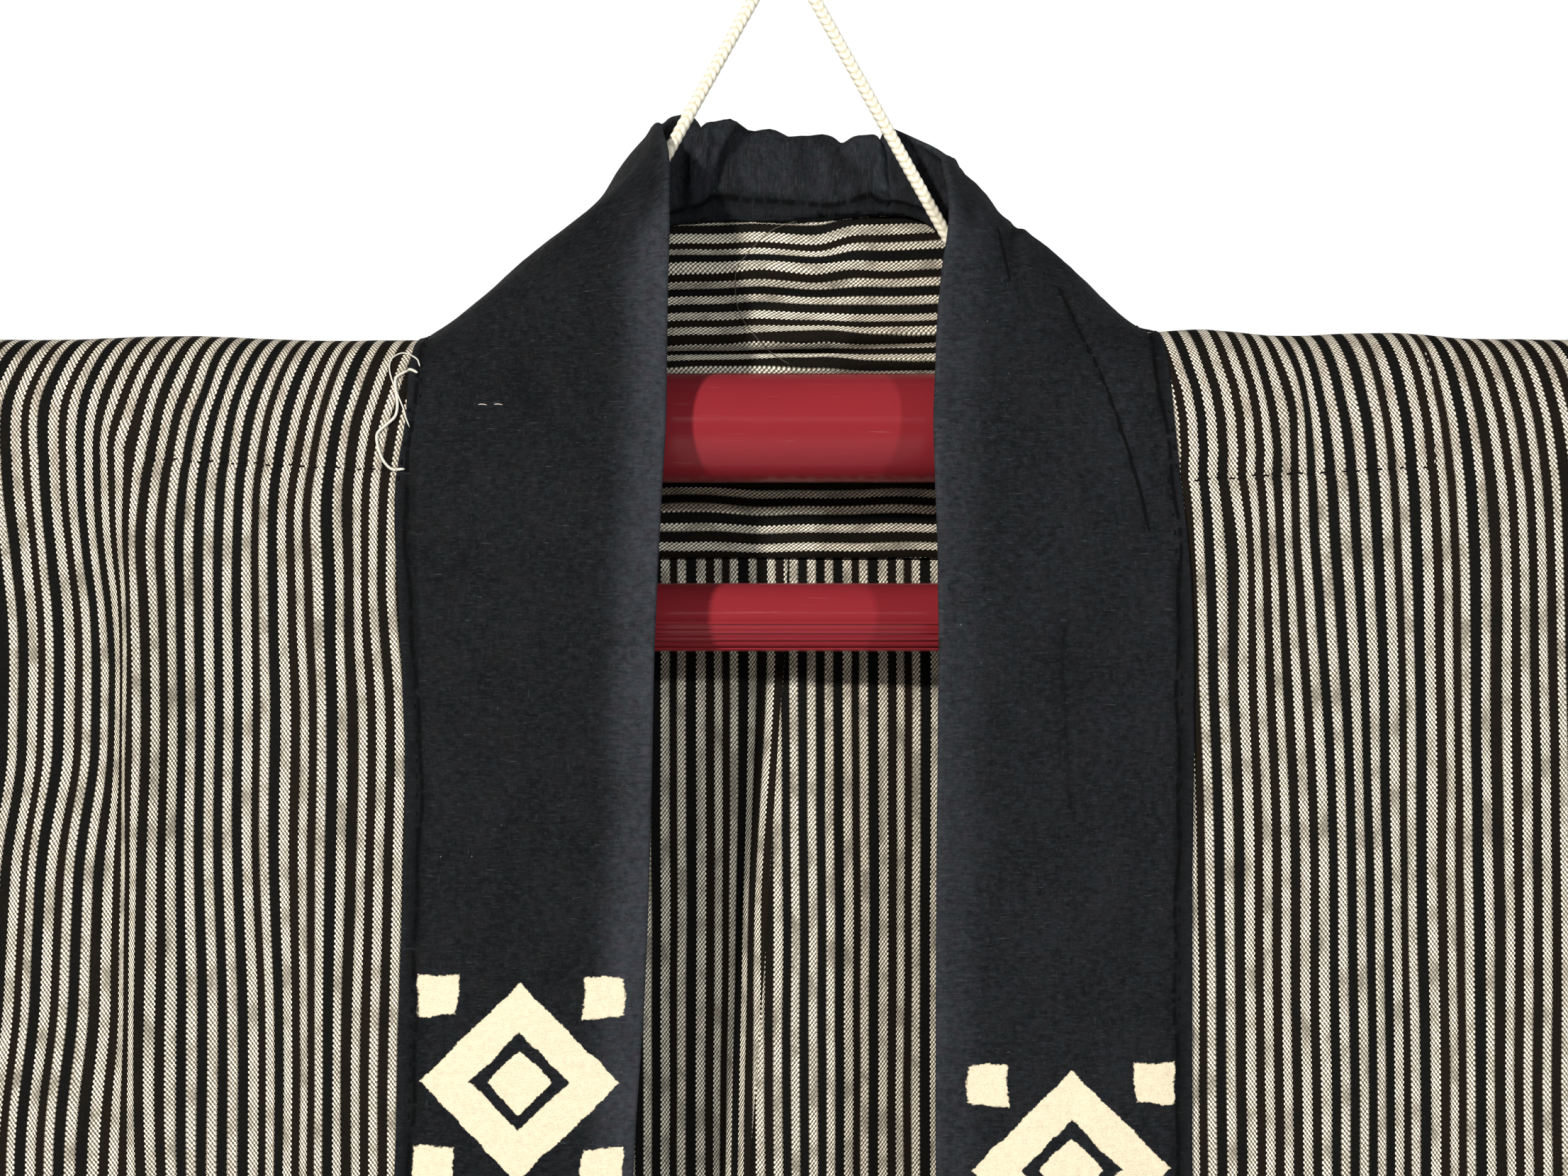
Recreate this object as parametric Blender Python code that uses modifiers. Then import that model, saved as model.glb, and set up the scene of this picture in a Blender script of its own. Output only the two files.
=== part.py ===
"""Striped cotton happi coat, hung open on a two-bar kimono hanger with a cord loop.

Metres, +Z up. The coat's front faces -Y and +X is to its viewer's right.
The origin is the crown of the cord loop, where a peg or a hook carries everything.
"""

import math
from collections import namedtuple

import bmesh
import bpy
from mathutils import Vector

OBJECT_NAME = "happi_coat_on_hanger"

# Hanger: a centre tube with thicker sliding arms over it, and a ribbed lower bar.
AXIS_Z = -0.1084
TUBE_RADIUS = 0.0132
TUBE_HALF = 0.200
ARM_RADIUS = 0.0180
ARM_START = 0.072
ARM_END = 0.600
ARM_TIP = 0.012
SEAT_GAP = 0.0003
LOWER_BAR_Z = -0.1542
LOWER_BAR_RADIUS = 0.0083
LOWER_BAR_HALF = 0.185
RIB_HEIGHT = 0.0005
RIB_FIRST = 8.0
RIB_STEP = 13.5
RIB_WIDTH = 5.0
RIB_COUNT = 5
BRACKET_START = 0.062
BRACKET_END = 0.070
BRACKET_TOP_RADIUS = 0.0174
BRACKET_LOW_RADIUS = 0.0125

# Cord: one strand from the tube, up over the loop's crown and down again.
CORD_RADIUS = 0.00165
CORD_HOLE_X = 0.058
CORD_HOLE_RADIUS = 0.0022
CORD_HOLE_DEPTH = 0.0055
CORD_END_DEPTH = 0.0040
CROWN_BEND = 0.0066

# Coat: overall sizes as worn flat on the hanger.
CLOTH_WALL = 0.0012
SEAM_GAP = 0.0003
SHOULDER_Z = -0.0872
COAT_LENGTH = 0.780
HEM_Z = SHOULDER_Z - COAT_LENGTH
BODY_HALF = 0.310
SLEEVE_WIDTH = 0.320
ARMHOLE_DEPTH = 0.290
CUFF_DEPTH = 0.262
DRAPE = 0.0210
HEM_SPREAD = 0.0150
SIDE_START = 0.195
SIDE_CLOSED = CLOTH_WALL + SEAM_GAP / 2
SIDE_CURVE = 1.7
ARC_LENGTH = 0.0330
SLEEVE_FOLD = 0.0028

# Shoulder backing: the same cloth turned a quarter, lining neck and shoulders inside.
BACKING_HALF = 0.150
BACKING_FRONT_Z = -0.1212
BACKING_BACK_Z = -0.1395

# Collar: a folded band, double cloth, raised a little over the panels that it joins.
COLLAR_WALL = 0.0020
COLLAR_RISE = 0.0014
COLLAR_GAP = 0.0005
NECK_GAP = 0.0012
FRONT_BULGE = 0.0006

# Mesh density.
BACKED_COLUMNS = 4
OUTER_COLUMNS = 9
ARC_ROWS = 5
PANEL_ROWS = 15
ROW_GROWTH = 1.2
SLEEVE_COLUMNS = 10
SLEEVE_ROWS = 9
BAND_COLUMNS = 7
BAND_NECK_STEPS = 2

FRONT = -1
BACK = 1

# Where the collar joins a front and where its free edge hangs, by height.
EdgeRow = namedtuple("EdgeRow", "z seam_x free_x free_lift")
LEFT_EDGE = (
    EdgeRow(-0.0872, -0.0885, -0.0270, 0.0020),
    EdgeRow(-0.1084, -0.0882, -0.0272, 0.0030),
    EdgeRow(-0.1241, -0.0907, -0.0280, 0.0035),
    EdgeRow(-0.1586, -0.0895, -0.0293, 0.0040),
    EdgeRow(-0.1914, -0.0887, -0.0302, 0.0040),
    EdgeRow(-0.2405, -0.0900, -0.0322, 0.0030),
    EdgeRow(-0.2830, -0.0911, -0.0349, 0.0020),
    EdgeRow(-0.4417, -0.0985, -0.0400, 0.0010),
    EdgeRow(-0.6417, -0.1060, -0.0455, 0.0030),
    EdgeRow(-0.8672, -0.1120, -0.0510, 0.0045),
)
RIGHT_EDGE = (
    EdgeRow(-0.0872, 0.0907, 0.0346, 0.0020),
    EdgeRow(-0.1084, 0.0914, 0.0344, 0.0030),
    EdgeRow(-0.1422, 0.0949, 0.0351, 0.0040),
    EdgeRow(-0.1750, 0.0957, 0.0351, 0.0040),
    EdgeRow(-0.2241, 0.0954, 0.0351, 0.0030),
    EdgeRow(-0.2830, 0.0957, 0.0351, 0.0025),
    EdgeRow(-0.4417, 0.0975, 0.0370, 0.0015),
    EdgeRow(-0.6417, 0.1000, 0.0398, 0.0030),
    EdgeRow(-0.8672, 0.1040, 0.0435, 0.0045),
)

# The collar round the neck, from the left shoulder over the back of the neck to the right one.
# The crest is a place on the way from seam to free edge, the top of the band where it turns over.
NeckRow = namedtuple(
    "NeckRow",
    "seam_x seam_y seam_z crest_x crest_y crest_z free_x free_y free_z",
)
NECK = (
    NeckRow(-0.0885, 0.0000, -0.0872, -0.0800, -0.0050, -0.0849, -0.0268, -0.0220, -0.0757),
    NeckRow(-0.0790, 0.0090, -0.0827, -0.0695, 0.0000, -0.0760, -0.0266, -0.0195, -0.0627),
    NeckRow(-0.0670, 0.0150, -0.0762, -0.0575, 0.0000, -0.0665, -0.0266, -0.0160, -0.0517),
    NeckRow(-0.0540, 0.0180, -0.0672, -0.0470, 0.0020, -0.0575, -0.0272, -0.0110, -0.0427),
    NeckRow(-0.0420, 0.0195, -0.0597, -0.0395, 0.0070, -0.0477, -0.0288, -0.0030, -0.0362),
    NeckRow(-0.0330, 0.0200, -0.0559, -0.0335, 0.0145, -0.0427, -0.0293, 0.0090, -0.0333),
    NeckRow(-0.0260, 0.0200, -0.0548, -0.0270, 0.0190, -0.0382, -0.0260, 0.0195, -0.0301),
    NeckRow(-0.0180, 0.0199, -0.0545, -0.0180, 0.0220, -0.0303, -0.0185, 0.0260, -0.0377),
    NeckRow(-0.0090, 0.0197, -0.0545, -0.0090, 0.0235, -0.0311, -0.0090, 0.0283, -0.0507),
    NeckRow(0.0010, 0.0195, -0.0549, 0.0010, 0.0240, -0.0325, 0.0010, 0.0290, -0.0567),
    NeckRow(0.0110, 0.0197, -0.0543, 0.0110, 0.0236, -0.0333, 0.0110, 0.0286, -0.0547),
    NeckRow(0.0210, 0.0199, -0.0531, 0.0210, 0.0223, -0.0325, 0.0215, 0.0268, -0.0437),
    NeckRow(0.0300, 0.0200, -0.0527, 0.0300, 0.0195, -0.0392, 0.0295, 0.0205, -0.0319),
    NeckRow(0.0380, 0.0200, -0.0545, 0.0395, 0.0150, -0.0468, 0.0372, 0.0095, -0.0397),
    NeckRow(0.0470, 0.0195, -0.0587, 0.0475, 0.0070, -0.0502, 0.0378, -0.0030, -0.0462),
    NeckRow(0.0580, 0.0180, -0.0662, 0.0545, 0.0030, -0.0599, 0.0385, -0.0100, -0.0537),
    NeckRow(0.0700, 0.0150, -0.0747, 0.0630, 0.0000, -0.0659, 0.0382, -0.0160, -0.0627),
    NeckRow(0.0820, 0.0090, -0.0822, 0.0730, 0.0005, -0.0736, 0.0366, -0.0195, -0.0727),
    NeckRow(0.0907, 0.0000, -0.0848, 0.0835, -0.0045, -0.0850, 0.0353, -0.0220, -0.0847),
)

# Height of the shoulder fold along the coat, level but for slight lifts where the cloth is fuller.
RidgeRow = namedtuple("RidgeRow", "x z")
RIDGE = (
    RidgeRow(-0.1750, SHOULDER_Z),
    RidgeRow(-0.1430, SHOULDER_Z + 0.0009),
    RidgeRow(-0.1200, SHOULDER_Z),
    RidgeRow(-0.0885, SHOULDER_Z),
    RidgeRow(0.0907, SHOULDER_Z + 0.0024),
    RidgeRow(0.1020, SHOULDER_Z + 0.0024),
    RidgeRow(0.1180, SHOULDER_Z + 0.0012),
    RidgeRow(0.1500, SHOULDER_Z + 0.0016),
    RidgeRow(0.1640, SHOULDER_Z + 0.0005),
    RidgeRow(0.1900, SHOULDER_Z),
)

# Where the centre back seam runs, by height: the coat hangs with a slight twist.
SeamRow = namedtuple("SeamRow", "z x")
CENTRE_BACK = (
    SeamRow(-0.0517, 0.0010),
    SeamRow(-0.1417, 0.0010),
    SeamRow(-0.2117, -0.0029),
    SeamRow(-0.4317, -0.0150),
    SeamRow(-0.6417, -0.0060),
    SeamRow(-0.8672, 0.0000),
)

# Large folds, as soft ridges (+) and troughs (-) that run down a face of the coat.
Fold = namedtuple("Fold", "face x_top z_top x_bottom z_bottom left right height")
FOLDS = (
    Fold(FRONT, -0.1500, -0.1067, -0.1510, -0.2167, 0.0060, 0.0090, 0.0040),
    Fold(FRONT, -0.1380, -0.1167, -0.1360, -0.2917, 0.0060, 0.0090, -0.0022),
    Fold(FRONT, -0.1150, -0.1317, -0.1080, -0.4117, 0.0100, 0.0110, 0.0025),
    Fold(FRONT, -0.1500, -0.2717, -0.1640, -0.9417, 0.0220, 0.0180, 0.0100),
    Fold(FRONT, -0.2080, -0.2517, -0.2180, -0.9417, 0.0200, 0.0220, -0.0060),
    Fold(FRONT, -0.2560, -0.3517, -0.2600, -0.9417, 0.0140, 0.0170, 0.0050),
    Fold(FRONT, 0.1240, -0.1417, 0.1300, -0.3817, 0.0100, 0.0110, 0.0028),
    Fold(FRONT, 0.1500, -0.1167, 0.1480, -0.3417, 0.0090, 0.0080, -0.0024),
    Fold(FRONT, 0.1860, -0.2317, 0.1990, -0.9417, 0.0200, 0.0240, 0.0110),
    Fold(FRONT, 0.2400, -0.2917, 0.2440, -0.9417, 0.0170, 0.0150, -0.0055),
    Fold(FRONT, 0.1400, -0.4217, 0.1480, -0.9417, 0.0130, 0.0140, -0.0050),
    Fold(BACK, 0.0010, -0.1417, -0.0150, -0.4317, 0.0055, 0.0300, -0.0085),
    Fold(BACK, -0.0700, -0.2117, -0.0780, -0.9417, 0.0240, 0.0200, 0.0090),
    Fold(BACK, -0.1350, -0.2517, -0.1450, -0.9417, 0.0200, 0.0220, -0.0060),
    Fold(BACK, -0.2020, -0.2217, -0.2100, -0.9417, 0.0210, 0.0200, 0.0085),
    Fold(BACK, 0.0200, -0.3917, 0.0130, -0.9417, 0.0200, 0.0190, -0.0055),
    Fold(BACK, 0.0850, -0.1917, 0.0930, -0.9417, 0.0230, 0.0210, 0.0095),
    Fold(BACK, 0.1480, -0.2617, 0.1580, -0.9417, 0.0180, 0.0200, -0.0060),
    Fold(BACK, 0.2120, -0.2317, 0.2200, -0.9417, 0.0220, 0.0180, 0.0080),
)
# Folds of a sleeve, by distance from its armhole: they start under the arm of the hanger.
SleeveFold = namedtuple("SleeveFold", "side face reach width height")
SLEEVE_FOLDS = (
    SleeveFold(-1, FRONT, 0.060, 0.016, 0.0050),
    SleeveFold(-1, FRONT, 0.135, 0.020, -0.0040),
    SleeveFold(-1, FRONT, 0.215, 0.022, 0.0060),
    SleeveFold(-1, BACK, 0.085, 0.019, 0.0050),
    SleeveFold(-1, BACK, 0.180, 0.021, -0.0040),
    SleeveFold(-1, BACK, 0.260, 0.018, 0.0045),
    SleeveFold(1, FRONT, 0.075, 0.019, 0.0055),
    SleeveFold(1, FRONT, 0.155, 0.018, -0.0040),
    SleeveFold(1, FRONT, 0.235, 0.021, 0.0050),
    SleeveFold(1, BACK, 0.060, 0.017, 0.0045),
    SleeveFold(1, BACK, 0.150, 0.022, -0.0045),
    SleeveFold(1, BACK, 0.240, 0.020, 0.0055),
)


def clamp(value):
    """Keep a share between 0 and 1."""
    return max(0.0, min(1.0, value))


def smooth(value):
    """An eased step from 0 to 1."""
    t = clamp(value)
    return t * t * (3.0 - 2.0 * t)


def mix(a, b, t):
    """Straight interpolation."""
    return a + (b - a) * t


def bend(before, start, end, after, t):
    """A smooth curve from start to end that minds the values on either side."""
    return 0.5 * (
        2.0 * start
        + (end - before) * t
        + (2.0 * before - 5.0 * start + 4.0 * end - after) * t * t
        + (3.0 * start - before - 3.0 * end + after) * t * t * t
    )


def hermite(start, end, leave, arrive, t):
    """A smooth curve between two values with given slopes at its ends."""
    rest = 1.0 - t
    ends = start * ((1.0 + 2.0 * t) * rest * rest) + end * (t * t * (3.0 - 2.0 * t))
    return ends + leave * (t * rest * rest) - arrive * (t * t * rest)


def read_row(table, key, column, value):
    """Read a table along a smooth curve at a value of its key column, which may rise or fall."""
    rows = sorted(table, key=lambda row: getattr(row, key))
    keys = [getattr(row, key) for row in rows]
    values = [getattr(row, column) for row in rows]
    last = len(keys) - 1
    if value <= keys[0]:
        return values[0]
    if value >= keys[last]:
        return values[last]
    i = max(j for j in range(last) if keys[j] <= value)
    span = keys[i + 1] - keys[i]
    slopes = []
    for j in (i, i + 1):
        low, high = max(j - 1, 0), min(j + 1, last)
        slopes.append((values[high] - values[low]) / (keys[high] - keys[low]) * span)
    return hermite(values[i], values[i + 1], slopes[0], slopes[1], (value - keys[i]) / span)


def edge_table(side):
    """The collar edge table of the left (-1) or right (+1) front."""
    return LEFT_EDGE if side < 0 else RIGHT_EDGE


def neckline(x):
    """Depth and height of the top edge of the back at x: the neck seam, or the shoulder fold."""
    if NECK[0].seam_x < x < NECK[-1].seam_x:
        return read_row(NECK, "seam_x", "seam_y", x), read_row(NECK, "seam_x", "seam_z", x)
    return 0.0, read_row(RIDGE, "x", "z", x)


def side_depth(z, bottom_z):
    """How far a face stands off the hanger's plane at the armhole, closing at bottom_z."""
    t = clamp((AXIS_Z - z) / (AXIS_Z - bottom_z))
    return SIDE_CLOSED + (DRAPE - SIDE_CLOSED) * (1.0 - t ** SIDE_CURVE)


def hang_depth(x, z):
    """How far the body's outer face stands off the hanger's plane."""
    fall = clamp((AXIS_Z - z) / (AXIS_Z - HEM_Z))
    middle = mix(DRAPE, HEM_SPREAD, smooth(fall))
    side = side_depth(z, SHOULDER_Z - ARMHOLE_DEPTH)
    return mix(middle, side, smooth((abs(x) - SIDE_START) / (BODY_HALF - SIDE_START)))


def fold_height(face, x, z):
    """Sum of the large folds at a place on one face of the body."""
    total = 0.0
    for fold in FOLDS:
        t = (fold.z_top - z) / (fold.z_top - fold.z_bottom)
        if fold.face != face or not 0.0 < t < 1.0:
            continue
        fade = smooth(t / 0.3) * smooth((1.0 - t) / 0.3)
        offset = x - mix(fold.x_top, fold.x_bottom, t)
        width = fold.left if offset < 0.0 else fold.right
        total += fold.height * fade * math.exp(-((offset / width) ** 2))
    return total * smooth((BODY_HALF - abs(x)) / 0.03)


def body_point(x, v):
    """A point of the coat's outer face: v runs down from the shoulder fold, front below zero."""
    face = FRONT if v < 0.0 else BACK
    top_y, top_z = neckline(x) if face == BACK else (0.0, read_row(RIDGE, "x", "z", x))
    angle = min(abs(v) / ARC_LENGTH, 1.0) * math.pi / 2
    lowered = mix(1.0 - math.cos(angle), angle / (math.pi / 2), top_y / DRAPE)
    z = mix(top_z, AXIS_Z, lowered) - max(abs(v) - ARC_LENGTH, 0.0)
    depth = hang_depth(x, z) + fold_height(face, x, z)
    y = mix(top_y, depth, math.sin(angle))
    return Vector((x, face * y, z))


def body_normal(x, v):
    """The outward direction of the coat's outer face."""
    step = 0.0008
    across = body_point(x + step, v) - body_point(x - step, v)
    if abs(v) < step:
        down = body_point(x, v + step) - body_point(x, v)
    else:
        down = body_point(x, v + step * 0.5) - body_point(x, v - step * 0.5)
    return down.cross(across).normalized() * -1.0


def drop_of(z):
    """Distance down from the shoulder fold for a height below the hanger's axis."""
    return ARC_LENGTH + (AXIS_Z - z)


def make_material(name, colour, roughness, metallic=0.0):
    """A Principled material with one colour."""
    material = bpy.data.materials.new(name)
    material.use_nodes = True
    shader = material.node_tree.nodes["Principled BSDF"]
    shader.inputs["Base Color"].default_value = (*colour, 1.0)
    shader.inputs["Roughness"].default_value = roughness
    shader.inputs["Metallic"].default_value = metallic
    return material


def add_object(name, data, collection, material):
    """Link a mesh or curve as a named object with its material."""
    thing = bpy.data.objects.new(name, data)
    collection.objects.link(thing)
    thing.data.materials.append(material)
    return thing


def sheet_mesh(name, grid, flip, closed=False):
    """A mesh from rows of points; a None leaves cloth out, closed joins last column to first."""
    mesh = bpy.data.meshes.new(name)
    build = bmesh.new()
    verts = [[None if point is None else build.verts.new(point) for point in row] for row in grid]
    for low, high in zip(verts, verts[1:]):
        count = len(low)
        for c in range(count if closed else count - 1):
            d = (c + 1) % count
            corners = [low[c], low[d], high[d], high[c]]
            if None in corners:
                continue
            build.faces.new(corners[::-1] if flip else corners)
    loose = [v for v in build.verts if not v.link_faces]
    bmesh.ops.delete(build, geom=loose, context="VERTS")
    for face in build.faces:
        face.smooth = True
    build.to_mesh(mesh)
    build.free()
    return mesh


def add_wall(thing, thickness, even=True):
    """Give an open surface its wall, inward from the outer face."""
    wall = thing.modifiers.new("Wall", "SOLIDIFY")
    wall.thickness = thickness
    wall.offset = -1.0
    wall.use_even_offset = even
    wall.use_quality_normals = True


def backing_drops(z_end):
    """Distances down a face to an edge of the backing, even over the shoulder."""
    rows = [drop_of(z) for z in (BACKING_FRONT_Z, BACKING_BACK_Z) if z >= z_end]
    return [ARC_LENGTH * i / ARC_ROWS for i in range(ARC_ROWS + 1)] + rows


def panel_drops():
    """Distances down a whole face: those of the backing, then wider steps to the hem."""
    start = drop_of(BACKING_BACK_Z)
    length = drop_of(HEM_Z) - start
    steps = [(i / PANEL_ROWS) ** ROW_GROWTH for i in range(1, PANEL_ROWS + 1)]
    return backing_drops(BACKING_BACK_Z) + [start + length * step for step in steps]


def front_x(side, z, share):
    """X of a front column: share 0 at the collar seam, 1 at the side."""
    seam = read_row(edge_table(side), "z", "seam_x", z)
    return mix(seam, side * BODY_HALF, share)


def back_x(side, z, share):
    """X of a back column: 0 to 1 under the neck, 1 to 2 from the neck's end to the side."""
    seam = read_row(CENTRE_BACK, "z", "x", z) + side * SEAM_GAP / 2
    corner = (NECK[0] if side < 0 else NECK[-1]).seam_x
    if share < 1.0:
        return mix(seam, corner, share)
    return mix(corner, side * BODY_HALF, share - 1.0)


def neck_shares(side):
    """Shares of the back columns under the neck, one at each row of the neck table."""
    seam = CENTRE_BACK[0].x
    corner = (NECK[0] if side < 0 else NECK[-1]).seam_x
    shares = [(row.seam_x - seam) / (corner - seam) for row in NECK]
    return sorted(share for share in shares if 0.0 <= share < 1.0)


def backed_shares():
    """Shares of the columns from the neck to the outer edge of the backing."""
    corner = NECK[-1].seam_x
    end = (BACKING_HALF - corner) / (BODY_HALF - corner)
    return [end * i / BACKED_COLUMNS for i in range(BACKED_COLUMNS + 1)]


def panel_grid(side, front_drops, back_drops, shares, point):
    """Rows of points over half a coat, front hem first; columns run from the centre outwards."""
    neck = neck_shares(side)
    grid = []
    for drop in reversed(front_drops[1:]):
        z = body_point(side * BODY_HALF, -drop).z
        grid.append([None] * len(neck) + [point(front_x(side, z, s), -drop) for s in shares])
    for drop in back_drops:
        z = body_point(side * BODY_HALF, drop).z
        places = neck + [1.0 + s for s in shares]
        grid.append([point(back_x(side, z, s), drop) for s in places])
    return grid


def build_body(side, collection, material):
    """One half of the body, a single length of cloth from front hem over the shoulder to back hem."""
    drops = panel_drops()
    inner = backed_shares()
    outer = [mix(inner[-1], 1.0, i / OUTER_COLUMNS) for i in range(1, OUTER_COLUMNS + 1)]
    grid = panel_grid(side, drops, drops, inner + outer, body_point)
    name = "body_left" if side < 0 else "body_right"
    thing = add_object(name, sheet_mesh(name, grid, side < 0), collection, material)
    add_wall(thing, CLOTH_WALL)
    return thing


def backing_point(x, v):
    """A point of the backing's outer face, just inside the body's wall."""
    return body_point(x, v) - body_normal(x, v) * (CLOTH_WALL + SEAM_GAP)


def build_backing(collection, material):
    """The shoulder backing: one cloth over both shoulders, cut out at the neck like the body."""
    drops = (backing_drops(BACKING_FRONT_Z), backing_drops(BACKING_BACK_Z))
    left = panel_grid(-1, *drops, backed_shares(), backing_point)
    right = panel_grid(1, *drops, backed_shares(), backing_point)
    grid = [half[:0:-1] + other for half, other in zip(left, right)]
    name = "shoulder_backing"
    thing = add_object(name, sheet_mesh(name, grid, False), collection, material)
    add_wall(thing, CLOTH_WALL)
    return thing


def sleeve_ring(side, reach):
    """One closed ring of a sleeve at a distance from the armhole seam, from the low fold round."""
    bottom_z = SHOULDER_Z - mix(ARMHOLE_DEPTH, CUFF_DEPTH, reach / SLEEVE_WIDTH)
    x = side * (BODY_HALF + SEAM_GAP + reach)
    heights = [mix(bottom_z + SLEEVE_FOLD, AXIS_Z, (i / SLEEVE_ROWS)) for i in range(SLEEVE_ROWS + 1)]
    faces = {}
    for face in (FRONT, BACK):
        points = []
        for z in heights:
            hang = (AXIS_Z - z) / (AXIS_Z - bottom_z)
            depth = max(side_depth(z, bottom_z), SLEEVE_FOLD)
            for fold in SLEEVE_FOLDS:
                if fold.side == side and fold.face == face:
                    ripple = math.exp(-(((reach - fold.reach) / fold.width) ** 2))
                    depth += fold.height * ripple * smooth(hang / 0.5) * smooth((1.0 - hang) / 0.25)
            points.append(Vector((x, face * max(depth, SLEEVE_FOLD), z)))
        faces[face] = points
    top = []
    count = 2 * ARC_ROWS
    for i in range(1, count):
        angle = math.pi * i / count
        top.append(Vector((x, -DRAPE * math.cos(angle), AXIS_Z + (SHOULDER_Z - AXIS_Z) * math.sin(angle))))
    low = [Vector((x, 0.0, bottom_z))]
    return low + faces[FRONT] + top + list(reversed(faces[BACK]))


def build_sleeve(side, collection, material):
    """A straight sleeve: a tube folded along its top, sewn below, open at armhole and cuff."""
    grid = [sleeve_ring(side, SLEEVE_WIDTH * i / SLEEVE_COLUMNS) for i in range(SLEEVE_COLUMNS + 1)]
    name = "sleeve_left" if side < 0 else "sleeve_right"
    thing = add_object(name, sheet_mesh(name, grid, side > 0, closed=True), collection, material)
    add_wall(thing, CLOTH_WALL)
    return thing


def neck_section(row):
    """Seam, crest and free edge of the collar from a row of the neck table."""
    seam = Vector((row.seam_x, row.seam_y, row.seam_z))
    crest = Vector((row.crest_x, row.crest_y, row.crest_z))
    free = Vector((row.free_x, row.free_y, row.free_z))
    return seam, crest, free


def crest_share(section):
    """How far across the collar its crest lies."""
    seam, crest, free = section
    rise = (crest - seam).length
    return rise / (rise + (free - crest).length)


def front_section(side, drop):
    """Seam, crest and free edge of the collar on a front, at a distance from the shoulder fold."""
    table = edge_table(side)
    z = body_point(side * BODY_HALF, -drop).z
    seam = body_point(read_row(table, "z", "seam_x", z), -drop)
    low_z = min(z, AXIS_Z)
    free_x = read_row(table, "z", "free_x", low_z)
    free_y = body_point(seam.x, -drop_of(low_z)).y - read_row(table, "z", "free_lift", low_z)
    free = Vector((free_x, free_y, low_z))
    share = 0.5
    bulge = Vector((0.0, -FRONT_BULGE, 0.0))
    if drop < ARC_LENGTH:
        top = neck_section(NECK[0] if side < 0 else NECK[-1])
        near = 1.0 - drop / ARC_LENGTH
        free = free.lerp(top[2], near)
        share = mix(share, crest_share(top), near)
        bulge = bulge.lerp(top[1] - top[0].lerp(top[2], crest_share(top)), near)
    return seam, seam.lerp(free, share) + bulge, free


def section_point(section, share):
    """A point across the collar, from its seam (0) over its crest to its free edge (1)."""
    seam, crest, free = section
    rise = (crest - seam).length
    fall = (free - crest).length
    up = (crest - seam) / rise
    down = (free - crest) / fall
    over = (up * fall + down * rise).normalized()
    split = crest_share(section)
    if share < split:
        return hermite(seam, crest, (up * 1.5 - over * 0.5) * rise, over * rise, share / split)
    t = (share - split) / (1.0 - split)
    return hermite(crest, free, over * fall, (down * 1.5 - over * 0.5) * fall, t)


def collar_sections():
    """Sections of the whole collar, from the left hem round the neck to the right hem."""
    drops = panel_drops()[1:]
    left = [front_section(-1, drop) for drop in reversed(drops)]
    right = [front_section(1, drop) for drop in drops]
    rows = [neck_section(row) for row in NECK]
    controls = left[-1:] + rows + right[:1]
    neck = []
    for i in range(1, len(rows)):
        for step in range(BAND_NECK_STEPS):
            t = step / BAND_NECK_STEPS
            parts = list(zip(controls[i - 1], controls[i], controls[i + 1], controls[i + 2]))
            curved = [bend(a, b, c, d, t) for a, b, c, d in parts[1:]]
            neck.append((mix(parts[0][1], parts[0][2], t), *curved))
    return left + neck + [rows[-1]] + right


def build_collar(collection, material):
    """The band collar, one long folded strip whose free edge frames the open front."""
    rows = []
    for section in collar_sections():
        bent = smooth((section[0].z - AXIS_Z) / (SHOULDER_Z - AXIS_Z))
        width = (section[1] - section[0]).length + (section[2] - section[1]).length
        start = mix(COLLAR_GAP, NECK_GAP, bent) / width
        shares = [mix(start, 1.0, i / BAND_COLUMNS) for i in range(BAND_COLUMNS + 1)]
        rows.append([section_point(section, share) for share in shares])
    mesh = sheet_mesh("collar", rows, False)
    raised = bmesh.new()
    raised.from_mesh(mesh)
    raised.normal_update()
    shifts = [vert.normal * COLLAR_RISE for vert in raised.verts]
    for vert, shift in zip(raised.verts, shifts):
        vert.co += shift
    raised.to_mesh(mesh)
    raised.free()
    thing = add_object("collar", mesh, collection, material)
    add_wall(thing, COLLAR_WALL, even=False)
    return thing


def turned(name, profile, steps, collection, material):
    """A turned piece from (radius, height) pairs that run down its outer side, along local Z."""
    mesh = bpy.data.meshes.new(name)
    edges = [(i, i + 1) for i in range(len(profile) - 1)]
    mesh.from_pydata([(radius, 0.0, height) for radius, height in profile], edges, [])
    thing = add_object(name, mesh, collection, material)
    screw = thing.modifiers.new("Turn", "SCREW")
    screw.steps = steps
    screw.render_steps = steps
    screw.use_merge_vertices = True
    screw.merge_threshold = 0.00001
    screw.use_smooth_shade = True
    return thing


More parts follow.
